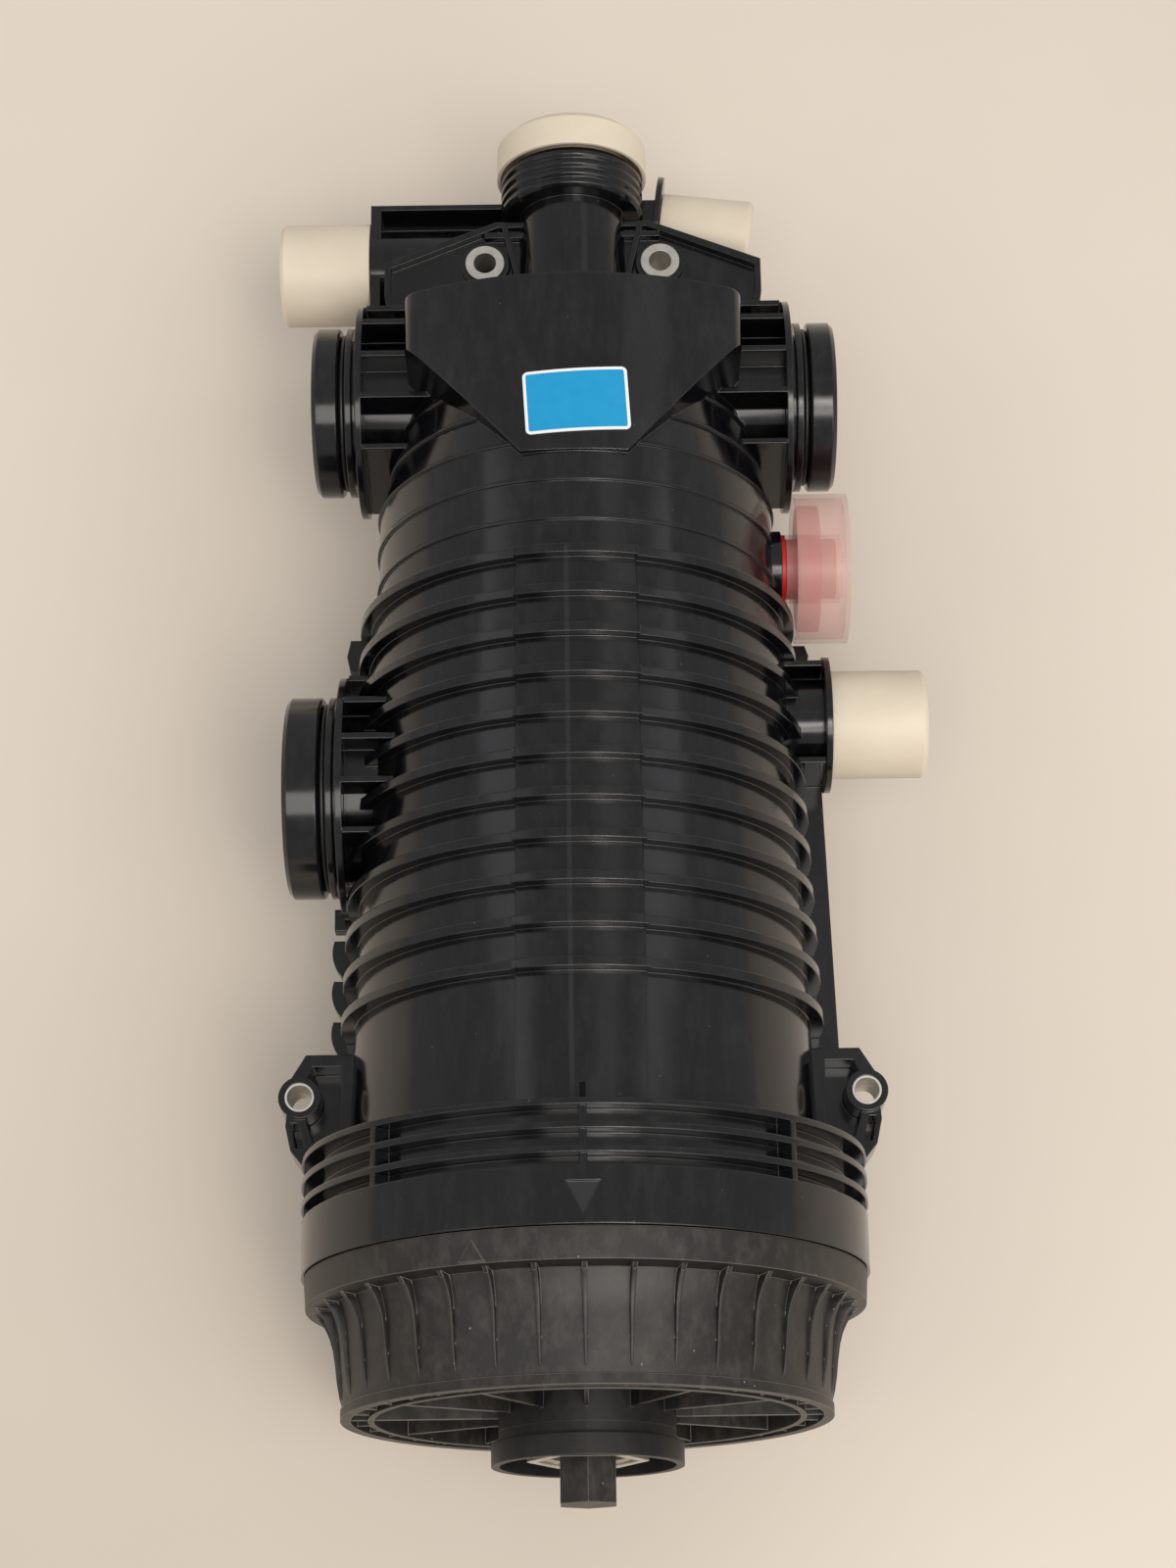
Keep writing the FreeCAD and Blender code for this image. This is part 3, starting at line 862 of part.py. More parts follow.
def makeLabel():
    """The thin label on the shield's round front, turned a little, with round corners."""
    body = newBody("label")
    sketch = newSketch(body, "label_section", "XZ_Plane", {"z": "-(labelPlace+labelHeight)"})
    edge = "shieldFace-shieldArc+sqrt(shieldArc*shieldArc-labelWidth*labelWidth)+labelGlue"
    outline(sketch, [("-labelWidth", edge), ("labelWidth", edge), ("labelWidth", edge + "+labelThickness"),
                     ("-labelWidth", edge + "+labelThickness")],
            {0: ("shieldArc", "left"), 2: ("shieldArc", "right")})
    raised(body, "label_sheet", sketch, "labelHeight*2")
    cut = newSketch(body, "label_outline", "XY_Plane", {"x": "labelShift", "y": "labelPlace"},
                    (Vector(0, 0, 1), "labelTilt"))
    outline(cut, [("-labelWidth*2", "-labelHeight*2"), ("labelWidth*2", "-labelHeight*2"),
                  ("labelWidth*2", "labelHeight*2"), ("-labelWidth*2", "labelHeight*2")])
    half, tall = "labelWidth/2", "labelHeight/2"
    corners = []
    for x, y, acrossFirst in (("", "-", True), ("", "", False), ("-", "", True), ("-", "-", False)):
        across = (x + "(%s-labelCorner)" % half, y + "(%s)" % tall)
        upright = (x + "(%s)" % half, y + "(%s-labelCorner)" % tall)
        corners += [across, upright] if acrossFirst else [upright, across]
    outline(cut, corners, {k: ("labelCorner", "right") for k in (0, 2, 4, 6)})
    raised(body, "label_trim", cut, "shieldArc", cut=True, reverse=True)
    return body


makeCover()
makeCoverSeal()
makeDrain()
makeElement()
makeValve("bypass_valve", "mediaStart-elementCapThickness+1")
makeValve("pressure_valve", "headTubeEnd+2")
makeSleeves()
portSeals("top_port_seals", (("_left", "-", "topPortPlace", "topPortFace", "spigotDisc", "topPortRadius"),
                             ("_right", "", "topPortPlace", "topPortFace", "spigotDisc", "topPortRadius")))
portSeals("side_port_seal", (("", "-", "sidePortPlace", "sidePortFace", "sidePortDisc", "sidePortRadius"),))
makeCaps()
makeLabel()
makeHousing()
doc.recompute()

failed = [item.Name for item in doc.Objects if "Invalid" in item.State or "Error" in item.State]
pieces = [item for item in doc.RootObjects if item.isDerivedFrom("Part::Feature")]
broken = [item.Label for item in pieces if item.Shape.isNull() or not item.Shape.isValid()]
if failed or broken:
    raise RuntimeError("features that failed: %s, shapes that are not sound: %s" % (failed, broken))
for item in pieces:
    item.Shape.exportStep("parts/%s.step" % item.Label)
    print("%-22s solids %d  volume %9.0f" % (item.Label, len(item.Shape.Solids), item.Shape.Volume))
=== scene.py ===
import bpy
import bmesh
import math
from mathutils import Matrix, Vector


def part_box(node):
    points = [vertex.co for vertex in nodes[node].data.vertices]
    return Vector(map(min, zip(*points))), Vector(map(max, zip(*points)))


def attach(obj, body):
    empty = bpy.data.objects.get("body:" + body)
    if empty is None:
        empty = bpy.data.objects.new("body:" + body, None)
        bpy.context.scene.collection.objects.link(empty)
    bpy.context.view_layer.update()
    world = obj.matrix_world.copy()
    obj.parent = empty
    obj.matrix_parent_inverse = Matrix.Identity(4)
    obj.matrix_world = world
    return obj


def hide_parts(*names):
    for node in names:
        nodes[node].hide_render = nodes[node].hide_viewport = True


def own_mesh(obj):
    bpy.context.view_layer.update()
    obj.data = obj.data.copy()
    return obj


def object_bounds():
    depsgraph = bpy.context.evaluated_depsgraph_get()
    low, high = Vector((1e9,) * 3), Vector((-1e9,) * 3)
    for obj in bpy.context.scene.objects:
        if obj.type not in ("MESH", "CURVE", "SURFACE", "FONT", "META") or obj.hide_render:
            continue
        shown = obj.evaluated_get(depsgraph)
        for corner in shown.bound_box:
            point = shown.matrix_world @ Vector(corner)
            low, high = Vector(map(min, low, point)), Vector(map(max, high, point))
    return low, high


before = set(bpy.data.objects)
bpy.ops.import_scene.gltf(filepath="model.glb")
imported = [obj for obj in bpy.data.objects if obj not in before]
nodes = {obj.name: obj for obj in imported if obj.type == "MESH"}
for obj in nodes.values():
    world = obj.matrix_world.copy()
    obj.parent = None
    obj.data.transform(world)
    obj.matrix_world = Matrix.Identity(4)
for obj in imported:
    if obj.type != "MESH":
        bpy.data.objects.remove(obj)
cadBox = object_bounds()
mm = 0.001
print("stage: frame loaded")

# The camera stands where the photograph was taken from. The image is taken to be 1200 by 1600, and the
# sensor lies along its longer side. Places in metres, the sensor in millimetres.
view = {
    "place": (0.00325, -0.2626, 1.08265),
    "ahead": (0.0, 0.3329, -0.943),
    "upward": (0.0139, 0.9429, 0.3328),
    "focalPixels": 3157,
    "imageHeight": 1600,
    "sensor": 36,
    "farthest": 50,
}

# A pale table in a softly lit room. A painted shadow darkens the table towards its near left corner. Lengths
# in metres.
room = {
    "floorSize": 6.0,
    "floorColour": "#e6dbce",
    "smudgeColour": "#dcd0c2",
    "smudgeSize": 0.25,
    "paintedShadowColour": "#b8ab9d",
    "paintedShadowPlace": (-0.36, -0.46, 0.0),
    "paintedShadowNear": 0.1,
    "paintedShadowFar": 0.6,
    "floorRough": 0.6,
    "floorGloss": 0.3,
    "worldColour": "#fbfaf9",
    "worldStrength": 0.5,
    "aim": (0.0, 0.1, 0.0),
}

# The light comes from above and behind the camera: a wide soft lamp, a bright tube that makes the glints in
# the port grooves, and a window on each side. The panels on the ceiling beyond the neck are seen only in the
# glossy barrel, as faint upright bands. Lengths in metres, power in watts.
warmWhite = "#fffaf3"
plainWhite = "#fbf7f2"
coolWhite = "#f4f6fb"
lamps = {
    "softLamp": {"place": (0.24, -1.1, 3.0), "size": (2.2, 1.4), "power": 34, "colour": warmWhite},
    "tube": {"place": (0.67, -1.2, 2.95), "size": (0.35, 1.4), "power": 12, "colour": warmWhite},
    "window": {"place": (2.0, -1.9, 2.9), "size": (3.2, 2.8), "power": 53, "colour": warmWhite},
    "leftWindow": {"place": (-2.5, -0.6, 2.5), "size": (1.9, 1.9), "power": 10, "colour": warmWhite},
    "middlePanel": {"place": (1.0, 1.5, 3.0), "size": (0.54, 2.0), "power": 1.0, "colour": plainWhite},
    "leftPanel": {"place": (-2.2, 1.4, 2.8), "size": (0.48, 2.0), "power": 2.0, "colour": coolWhite},
    "rightPanel": {"place": (2.4, 1.4, 2.8), "size": (0.48, 2.0), "power": 2.0, "colour": coolWhite},
}

# A Mix node set to colours has its own sockets: its share, its two colours and its result.
mixShare = 0
mixFirst = 6
mixSecond = 7
mixed = 2


def linear(hexText):
    # turns a written sRGB colour to the linear values that the shaders take
    parts = [int(hexText[i:i + 2], 16) / 255 for i in (1, 3, 5)]
    return [c / 12.92 if c <= 0.04045 else ((c + 0.055) / 1.055) ** 2.4 for c in parts] + [1.0]


def addNode(tree, kind, inputs=None, **settings):
    # a setting belongs to the node, an input is a value or another node's output
    made = tree.nodes.new("ShaderNode" + kind)
    for name, value in settings.items():
        setattr(made, name, value)
    for name, value in (inputs or {}).items():
        if isinstance(value, bpy.types.NodeSocket):
            tree.links.new(value, made.inputs[name])
        else:
            made.inputs[name].default_value = value
    return made


def newMaterial(name):
    made = bpy.data.materials.new(name)
    made.use_nodes = True
    tree = made.node_tree
    tree.nodes.clear()
    return made, tree, addNode(tree, "TexCoord").outputs["Object"]


def finishMaterial(tree, shader):
    addNode(tree, "OutputMaterial", {"Surface": shader.outputs[0]})


def drawLoop(shape, points):
    # draws a closed loop of edges through points given in millimetres
    corners = [shape.verts.new(Vector(point) * mm) for point in points]
    return [shape.edges.new(pair) for pair in zip(corners, corners[1:] + corners[:1])]


def softenEdges(shape, look):
    # rounds the edges that turn by more than the piece's own limit, in degrees
    bmesh.ops.recalc_face_normals(shape, faces=shape.faces)
    sharp = [edge for edge in shape.edges if edge.calc_face_angle(0) > math.radians(look["sharp"])]
    bmesh.ops.bevel(shape, geom=sharp, offset=look["soft"] * mm, affect="EDGES", segments=look["segments"],
                    profile=0.5, material=-1)


def placeMesh(shape, name, finish):
    mesh = bpy.data.meshes.new(name)
    shape.to_mesh(mesh)
    shape.free()
    mesh.materials.append(finish)
    made = bpy.data.objects.new(name, mesh)
    bpy.context.scene.collection.objects.link(made)
    return made


def makeCamera():
    camera = bpy.data.objects.new("photoCamera", bpy.data.cameras.new("photoCamera"))
    bpy.context.scene.collection.objects.link(camera)
    ahead = Vector(view["ahead"]).normalized()
    right = ahead.cross(Vector(view["upward"])).normalized()
    upward = right.cross(ahead)
    turn = Matrix((right, upward, -ahead)).transposed().to_4x4()
    camera.matrix_world = Matrix.Translation(view["place"]) @ turn
    camera.data.sensor_width = view["sensor"]
    camera.data.lens = view["focalPixels"] / view["imageHeight"] * view["sensor"]
    camera.data.clip_end = view["farthest"]
    bpy.context.scene.camera = camera


def paintedTable(name, look):
    # A painted table top: matte, warm white, with broad faint smudges and a painted shadow towards its near
    # left corner.
    made, tree, where = newMaterial(name)
    smudge = addNode(tree, "TexNoise", {"Vector": where, "Scale": 1 / look["smudgeSize"], "Detail": 4})
    tint = addNode(tree, "Mix", {mixShare: smudge.outputs["Fac"], mixFirst: linear(look["floorColour"]),
                                 mixSecond: linear(look["smudgeColour"])}, data_type="RGBA")
    # painted shadow: the table's colour is darkened towards its near left corner
    apart = addNode(tree, "VectorMath", {0: where, 1: look["paintedShadowPlace"]}, operation="DISTANCE")
    dull = addNode(tree, "MapRange", {"Value": apart.outputs["Value"], "From Min": look["paintedShadowNear"],
                                      "From Max": look["paintedShadowFar"], "To Min": 1.0, "To Max": 0.0})
    tint = addNode(tree, "Mix", {mixShare: dull.outputs[0], mixFirst: tint.outputs[mixed],
                                 mixSecond: linear(look["paintedShadowColour"])}, data_type="RGBA")
    shader = addNode(tree, "BsdfPrincipled", {
        "Base Color": tint.outputs[mixed], "Roughness": look["floorRough"],
        "Specular IOR Level": look["floorGloss"]})
    finishMaterial(tree, shader)
    return made


def makeRoom():
    shape = bmesh.new()
    bmesh.ops.create_grid(shape, x_segments=1, y_segments=1, size=room["floorSize"])
    lowest = cadBox[0][2]
    bmesh.ops.translate(shape, verts=shape.verts, vec=(0, 0, lowest))
    floor = placeMesh(shape, "tableTop", paintedTable("tableTop", room))

    world = bpy.data.worlds.new("softRoom")
    bpy.context.scene.world = world
    world.use_nodes = True
    background = world.node_tree.nodes["Background"]
    background.inputs["Color"].default_value = linear(room["worldColour"])
    background.inputs["Strength"].default_value = room["worldStrength"]


def makeLamps():
    for name, lamp in lamps.items():
        panel = bpy.data.lights.new(name, "AREA")
        panel.shape = "RECTANGLE"
        panel.size, panel.size_y = lamp["size"]
        panel.energy = lamp["power"]
        panel.color = linear(lamp["colour"])[:3]
        light = bpy.data.objects.new(name, panel)
        bpy.context.scene.collection.objects.link(light)
        light.location = lamp["place"]
        light.rotation_euler = (Vector(room["aim"]) - light.location).to_track_quat("-Z", "Y").to_euler()


# Glass-filled nylon, injection moulded: near black, smooth enough to mirror the table at the sides, with
# soft rounded edges, cloudy handling marks, a little pale dust and, on the cover, a dusty matte skin.
# Sizes in millimetres.
nylonPaint = {
    "housing": {
        "base": "#08080b", "light": "#0e0f13", "rough": 0.12, "roughSpread": 0.05, "streak": 0.3,
        "grain": 0.5, "bump": 0.02, "edge": 0.8, "wearAndHighlight": 0.25, "wearAndHighlightColour": "#434446",
        "dust": 0.05, "dustColour": "#8d8780"},
    "cover": {
        "base": "#171513", "light": "#23201d", "rough": 0.4, "roughSpread": 0.14, "streak": 0.6,
        "grain": 0.6, "bump": 0.07, "edge": 0.6, "wearAndHighlight": 0.8, "wearAndHighlightColour": "#8d857c",
        "dust": 0.2, "dustColour": "#8a8078"},
    "inner": {
        "base": "#17181a", "light": "#202124", "rough": 0.5, "roughSpread": 0.1, "streak": 1.0,
        "grain": 0.6, "bump": 0.05, "edge": 0.3, "wearAndHighlight": 0.2, "wearAndHighlightColour": "#4a4a4c",
        "dust": 0.0, "dustColour": "#8a8078"},
}

# What all nylon pieces share. Dust lies on the faces that look up, in patches. Edges are painted lighter
# where the rounded normal turns away from the face's own: partly rubbed wear, partly a painted highlight.
# Sizes in millimetres.
nylonSkin = {
    "cloudSize": 45, "markSize": 6, "speckSize": 9, "speckColour": "#b8b0a4", "speckShare": 2.2,
    "speckInner": 0.02, "speckOuter": 0.05, "leastDust": 0.15, "steepest": -0.2, "patchFrom": 0.45,
    "patchFull": 0.8, "wearAndHighlightFrom": 0.97, "wearAndHighlightFull": 0.8, "roughFrom": 0.3, "roughFull": 0.75,
    "grainDepth": 0.3, "ior": 1.5,
}

# On the housing's front: dark lines along the raised panel's edges, painted shade of its steps; a pale weld
# line beside its middle and the sunk triangle above the cover, both left by the mould. Sizes in millimetres.
mouldMarksAndStepShade = {
    "panelHalf": 21.6, "stepShadeHalf": 0.35, "weldPlace": -3.4, "weldHalf": 0.8, "middle": 80, "reach": 100,
    "triangleTip": -62, "triangleTop": -51, "triangleSlope": 0.51, "triangleHeight": 95,
    "stepShadeColour": "#040405", "weldColour": "#222327", "triangleColour": "#29292c",
}

# The cover's hub has a cleaner and darker wall, round the axis along Y. Sizes in millimetres.
hubWall = {"middle": 30, "half": 6.5, "share": 0.75, "colour": "#07080c"}


def markFront(tree, where, colour):
    # gives the housing's colour with the mould's marks, and the painted shade at the panel's steps, over it
    apart = addNode(tree, "SeparateXYZ", {0: where})
    across, along, height = apart.outputs
    sideways = addNode(tree, "Math", {0: across}, operation="ABSOLUTE").outputs[0]
    front = addNode(tree, "Math", {0: height, 1: 0.0}, operation="GREATER_THAN")
    length = addNode(tree, "Math", {0: along, 1: mouldMarksAndStepShade["middle"] * mm, 2: mouldMarksAndStepShade["reach"] * mm},
                     operation="COMPARE")
    panel = addNode(tree, "Math", {0: front.outputs[0], 1: length.outputs[0]}, operation="MULTIPLY")
    # the first line is painted shade at the raised panel's steps, the second the mould's weld line
    for value, place, half, hue in (
            (sideways, "panelHalf", "stepShadeHalf", "stepShadeColour"),
            (across, "weldPlace", "weldHalf", "weldColour")):
        line = addNode(tree, "Math", {0: value, 1: mouldMarksAndStepShade[place] * mm, 2: mouldMarksAndStepShade[half] * mm},
                       operation="COMPARE")
        line = addNode(tree, "Math", {0: line.outputs[0], 1: panel.outputs[0]}, operation="MULTIPLY")
        colour = addNode(tree, "Mix", {mixShare: line.outputs[0], mixFirst: colour,
                                       mixSecond: linear(mouldMarksAndStepShade[hue])}, data_type="RGBA").outputs[mixed]
    above = addNode(tree, "Math", {0: along, 1: mouldMarksAndStepShade["triangleTip"] * mm}, operation="SUBTRACT")
    wide = addNode(tree, "Math", {0: above.outputs[0], 1: mouldMarksAndStepShade["triangleSlope"]}, operation="MULTIPLY")
    inside = addNode(tree, "Math", {0: sideways, 1: wide.outputs[0]}, operation="LESS_THAN")
    below = addNode(tree, "Math", {0: along, 1: mouldMarksAndStepShade["triangleTop"] * mm}, operation="LESS_THAN")
    high = addNode(tree, "Math", {0: height, 1: mouldMarksAndStepShade["triangleHeight"] * mm}, operation="GREATER_THAN")
    triangle = addNode(tree, "Math", {0: inside.outputs[0], 1: below.outputs[0]}, operation="MULTIPLY")
    triangle = addNode(tree, "Math", {0: triangle.outputs[0], 1: high.outputs[0]}, operation="MULTIPLY")
    return addNode(tree, "Mix", {mixShare: triangle.outputs[0], mixFirst: colour,
                                 mixSecond: linear(mouldMarksAndStepShade["triangleColour"])},
                   data_type="RGBA").outputs[mixed]


def cleanHub(tree, where, colour):
    # gives the cover's colour with the hub's darker wall over it
    flat = addNode(tree, "VectorMath", {0: where, 1: (1, 0, 1)}, operation="MULTIPLY")
    reach = addNode(tree, "VectorMath", {0: flat.outputs[0]}, operation="LENGTH")
    hub = addNode(tree, "Math", {0: reach.outputs["Value"], 1: hubWall["middle"] * mm,
                                 2: hubWall["half"] * mm}, operation="COMPARE")
    clean = addNode(tree, "Math", {0: hub.outputs[0], 1: hubWall["share"]}, operation="MULTIPLY")
    return addNode(tree, "Mix", {mixShare: clean.outputs[0], mixFirst: colour,
                                 mixSecond: linear(hubWall["colour"])}, data_type="RGBA").outputs[mixed]


def mouldedNylon(name, look, markings=None):
    # markings is a function that lays one piece's own marks, and for the housing the painted shade at the
    # panel's steps, over the colour
    made, tree, where = newMaterial(name)
    cloud = addNode(tree, "TexNoise", {"Vector": where, "Scale": 1 / (nylonSkin["cloudSize"] * mm),
                                       "Detail": 6, "Roughness": 0.6})
    grain = addNode(tree, "TexNoise", {"Vector": where, "Scale": 1 / (look["grain"] * mm), "Detail": 2})
    streak = addNode(tree, "Mapping", {"Vector": where, "Scale": (1, look["streak"], 1)})
    marks = addNode(tree, "TexNoise", {
        "Vector": streak.outputs[0], "Scale": 1 / (nylonSkin["markSize"] * mm), "Detail": 8,
        "Roughness": 0.7})
    tint = addNode(tree, "Mix", {mixShare: cloud.outputs["Fac"], mixFirst: linear(look["base"]),
                                 mixSecond: linear(look["light"])}, data_type="RGBA")
    skin = addNode(tree, "NewGeometry").outputs["Normal"]
    facing = addNode(tree, "SeparateXYZ", {0: skin})
    lying = addNode(tree, "MapRange", {
        "Value": facing.outputs["Z"], "From Min": nylonSkin["steepest"], "From Max": 1.0,
        "To Min": nylonSkin["leastDust"], "To Max": 1.0})
    patch = addNode(tree, "MapRange", {
        "Value": marks.outputs["Fac"], "From Min": nylonSkin["patchFrom"],
        "From Max": nylonSkin["patchFull"]})
    amount = addNode(tree, "Math", {0: lying.outputs[0], 1: patch.outputs[0]}, operation="MULTIPLY")
    amount = addNode(tree, "Math", {0: amount.outputs[0], 1: look["dust"]}, operation="MULTIPLY")
    dusty = addNode(tree, "Mix", {mixShare: amount.outputs[0], mixFirst: tint.outputs[mixed],
                                  mixSecond: linear(look["dustColour"])}, data_type="RGBA")
    specks = addNode(tree, "TexVoronoi", {"Vector": where, "Scale": 1 / (nylonSkin["speckSize"] * mm),
                                          "Randomness": 1.0})
    speck = addNode(tree, "MapRange", {
        "Value": specks.outputs["Distance"], "From Min": nylonSkin["speckInner"],
        "From Max": nylonSkin["speckOuter"], "To Min": look["dust"] * nylonSkin["speckShare"],
        "To Max": 0.0})
    speckled = addNode(tree, "Mix", {mixShare: speck.outputs[0], mixFirst: dusty.outputs[mixed],
                                     mixSecond: linear(nylonSkin["speckColour"])}, data_type="RGBA")
    edge = addNode(tree, "Bevel", {"Radius": look["edge"] * mm}, samples=8)
    # painted highlight together with wear: edges are lightened where the rounded normal turns away from the
    # face's own
    turning = addNode(tree, "VectorMath", {0: edge.outputs[0], 1: skin}, operation="DOT_PRODUCT")
    rubbedAndHighlit = addNode(tree, "MapRange", {
        "Value": turning.outputs["Value"], "From Min": nylonSkin["wearAndHighlightFrom"],
        "From Max": nylonSkin["wearAndHighlightFull"], "To Min": 0.0, "To Max": look["wearAndHighlight"]})
    coloured = addNode(tree, "Mix", {mixShare: rubbedAndHighlit.outputs[0], mixFirst: speckled.outputs[mixed],
                                     mixSecond: linear(look["wearAndHighlightColour"])}, data_type="RGBA").outputs[mixed]
    if markings:
        coloured = markings(tree, where, coloured)
    rough = addNode(tree, "MapRange", {
        "Value": marks.outputs["Fac"], "From Min": nylonSkin["roughFrom"],
        "From Max": nylonSkin["roughFull"], "To Min": look["rough"],
        "To Max": look["rough"] + look["roughSpread"]})
    bump = addNode(tree, "Bump", {"Height": grain.outputs["Fac"], "Strength": look["bump"],
                                  "Distance": nylonSkin["grainDepth"] * mm, "Normal": edge.outputs[0]})
    shader = addNode(tree, "BsdfPrincipled", {"Base Color": coloured, "Roughness": rough.outputs[0],
                                              "Normal": bump.outputs[0], "IOR": nylonSkin["ior"]})
    finishMaterial(tree, shader)
    return made


# Low-density polyethylene, moulded: ivory, waxy and a little translucent, with faint sink marks. Sizes in
# millimetres.
capPaint = {"base": "#e8dcc9", "shade": "#d9cbb5", "rough": 0.4, "roughSpread": 0.16, "edge": 0.8,
            "cloudSize": 18, "scuffSize": 2.2, "sinkDepth": 1, "sink": 0.15, "glow": 0.25,
            "glowDepth": 3, "glowColour": (1.0, 0.85, 0.7), "ior": 1.51}


def softPolyethylene(name, look):
    made, tree, where = newMaterial(name)
    cloud = addNode(tree, "TexNoise", {"Vector": where, "Scale": 1 / (look["cloudSize"] * mm), "Detail": 5})
    scuff = addNode(tree, "TexNoise", {"Vector": where, "Scale": 1 / (look["scuffSize"] * mm), "Detail": 6,
                                       "Roughness": 0.7})
    tint = addNode(tree, "Mix", {mixShare: cloud.outputs["Fac"], mixFirst: linear(look["base"]),
                                 mixSecond: linear(look["shade"])}, data_type="RGBA")
    rough = addNode(tree, "MapRange", {"Value": scuff.outputs["Fac"], "To Min": look["rough"],
                                       "To Max": look["rough"] + look["roughSpread"]})
    edge = addNode(tree, "Bevel", {"Radius": look["edge"] * mm}, samples=6)
    bump = addNode(tree, "Bump", {"Height": cloud.outputs["Fac"], "Strength": look["sink"],
                                  "Distance": look["sinkDepth"] * mm, "Normal": edge.outputs[0]})
    shader = addNode(tree, "BsdfPrincipled", {
        "Base Color": tint.outputs[mixed], "Roughness": rough.outputs[0], "Normal": bump.outputs[0],
        "IOR": look["ior"], "Subsurface Weight": look["glow"], "Subsurface Radius": look["glowColour"],
        "Subsurface Scale": look["glowDepth"] * mm})
    finishMaterial(tree, shader)
    return made


# Bright steel, turned and zinc-plated or, for the springs, drawn as wire: grey, with fine lines and a cloudy
# skin.
steelPaint = {
    "zinc": {"base": "#ece8e0", "rough": 0.4},
    "spring": {"base": "#8c8c8e", "rough": 0.3},
}

# What all steel pieces share. Sizes in millimetres.
steelSkin = {"dull": "#a9a8a2", "roughSpread": 0.2, "cloudSize": 4, "lineSize": 0.4, "lineDepth": 0.1,
             "line": 0.1, "edge": 0.3}


def brightSteel(name, look):
    made, tree, where = newMaterial(name)
    cloud = addNode(tree, "TexNoise", {"Vector": where, "Scale": 1 / (steelSkin["cloudSize"] * mm),
                                       "Detail": 5})
    lines = addNode(tree, "TexNoise", {"Vector": where, "Scale": 1 / (steelSkin["lineSize"] * mm),
                                       "Detail": 2})
    rough = addNode(tree, "MapRange", {"Value": cloud.outputs["Fac"], "To Min": look["rough"],
                                       "To Max": look["rough"] + steelSkin["roughSpread"]})
    tint = addNode(tree, "Mix", {mixShare: cloud.outputs["Fac"], mixFirst: linear(look["base"]),
                                 mixSecond: linear(steelSkin["dull"])}, data_type="RGBA")
    edge = addNode(tree, "Bevel", {"Radius": steelSkin["edge"] * mm}, samples=6)
    bump = addNode(tree, "Bump", {"Height": lines.outputs["Fac"], "Strength": steelSkin["line"],
                                  "Distance": steelSkin["lineDepth"] * mm, "Normal": edge.outputs[0]})
    shader = addNode(tree, "BsdfPrincipled", {
        "Base Color": tint.outputs[mixed], "Roughness": rough.outputs[0], "Normal": bump.outputs[0],
        "Metallic": 1.0})
    finishMaterial(tree, shader)
    return made


# Nitrile rubber, pressed: black, soft sheen, with a faint bloom. Sizes in millimetres.
rubberPaint = {"base": "#121212", "bloom": "#1f1e1d", "bloomSize": 9, "smooth": 0.3, "dull": 0.5,
               "ior": 1.52}


def nitrileRubber(name, look):
    made, tree, where = newMaterial(name)
    bloom = addNode(tree, "TexNoise", {"Vector": where, "Scale": 1 / (look["bloomSize"] * mm), "Detail": 5})
    tint = addNode(tree, "Mix", {mixShare: bloom.outputs["Fac"], mixFirst: linear(look["base"]),
                                 mixSecond: linear(look["bloom"])}, data_type="RGBA")
    rough = addNode(tree, "MapRange", {"Value": bloom.outputs["Fac"], "To Min": look["smooth"],
                                       "To Max": look["dull"]})
    shader = addNode(tree, "BsdfPrincipled", {
        "Base Color": tint.outputs[mixed], "Roughness": rough.outputs[0], "IOR": look["ior"]})
    finishMaterial(tree, shader)
    return made


# Red polyethylene, moulded: saturated and waxy, cloudy between two reds. Sizes in millimetres.
redPaint = {"base": "#d8281f", "deep": "#c21d18", "cloudSize": 6, "edge": 0.4, "smooth": 0.35, "dull": 0.5,
            "glow": 0.2, "glowDepth": 2, "glowColour": (1.0, 0.3, 0.2), "ior": 1.51}


def redPolyethylene(name, look):
    made, tree, where = newMaterial(name)
    cloud = addNode(tree, "TexNoise", {"Vector": where, "Scale": 1 / (look["cloudSize"] * mm), "Detail": 4})
    tint = addNode(tree, "Mix", {mixShare: cloud.outputs["Fac"], mixFirst: linear(look["base"]),
                                 mixSecond: linear(look["deep"])}, data_type="RGBA")
    edge = addNode(tree, "Bevel", {"Radius": look["edge"] * mm}, samples=6)
    rough = addNode(tree, "MapRange", {"Value": cloud.outputs["Fac"], "To Min": look["smooth"],
                                       "To Max": look["dull"]})
    shader = addNode(tree, "BsdfPrincipled", {
        "Base Color": tint.outputs[mixed], "Roughness": rough.outputs[0], "Normal": edge.outputs[0],
        "IOR": look["ior"], "Subsurface Weight": look["glow"], "Subsurface Radius": look["glowColour"],
        "Subsurface Scale": look["glowDepth"] * mm})
    finishMaterial(tree, shader)
    return made


# Clear polyethylene, moulded thin: milky with a pink cast, so that what lies behind shows through it. The
# web is redder and denser.
frostPaint = {
    "cap": {"colour": "#eabdb5", "thin": 0.2, "thick": 0.3},
    "web": {"colour": "#d9524b", "thin": 0.3, "thick": 0.45},
}

# What the clear pieces share. Size in millimetres.
frostSkin = {"cloudSize": 8, "smooth": 0.25, "dull": 0.4, "ior": 1.45}


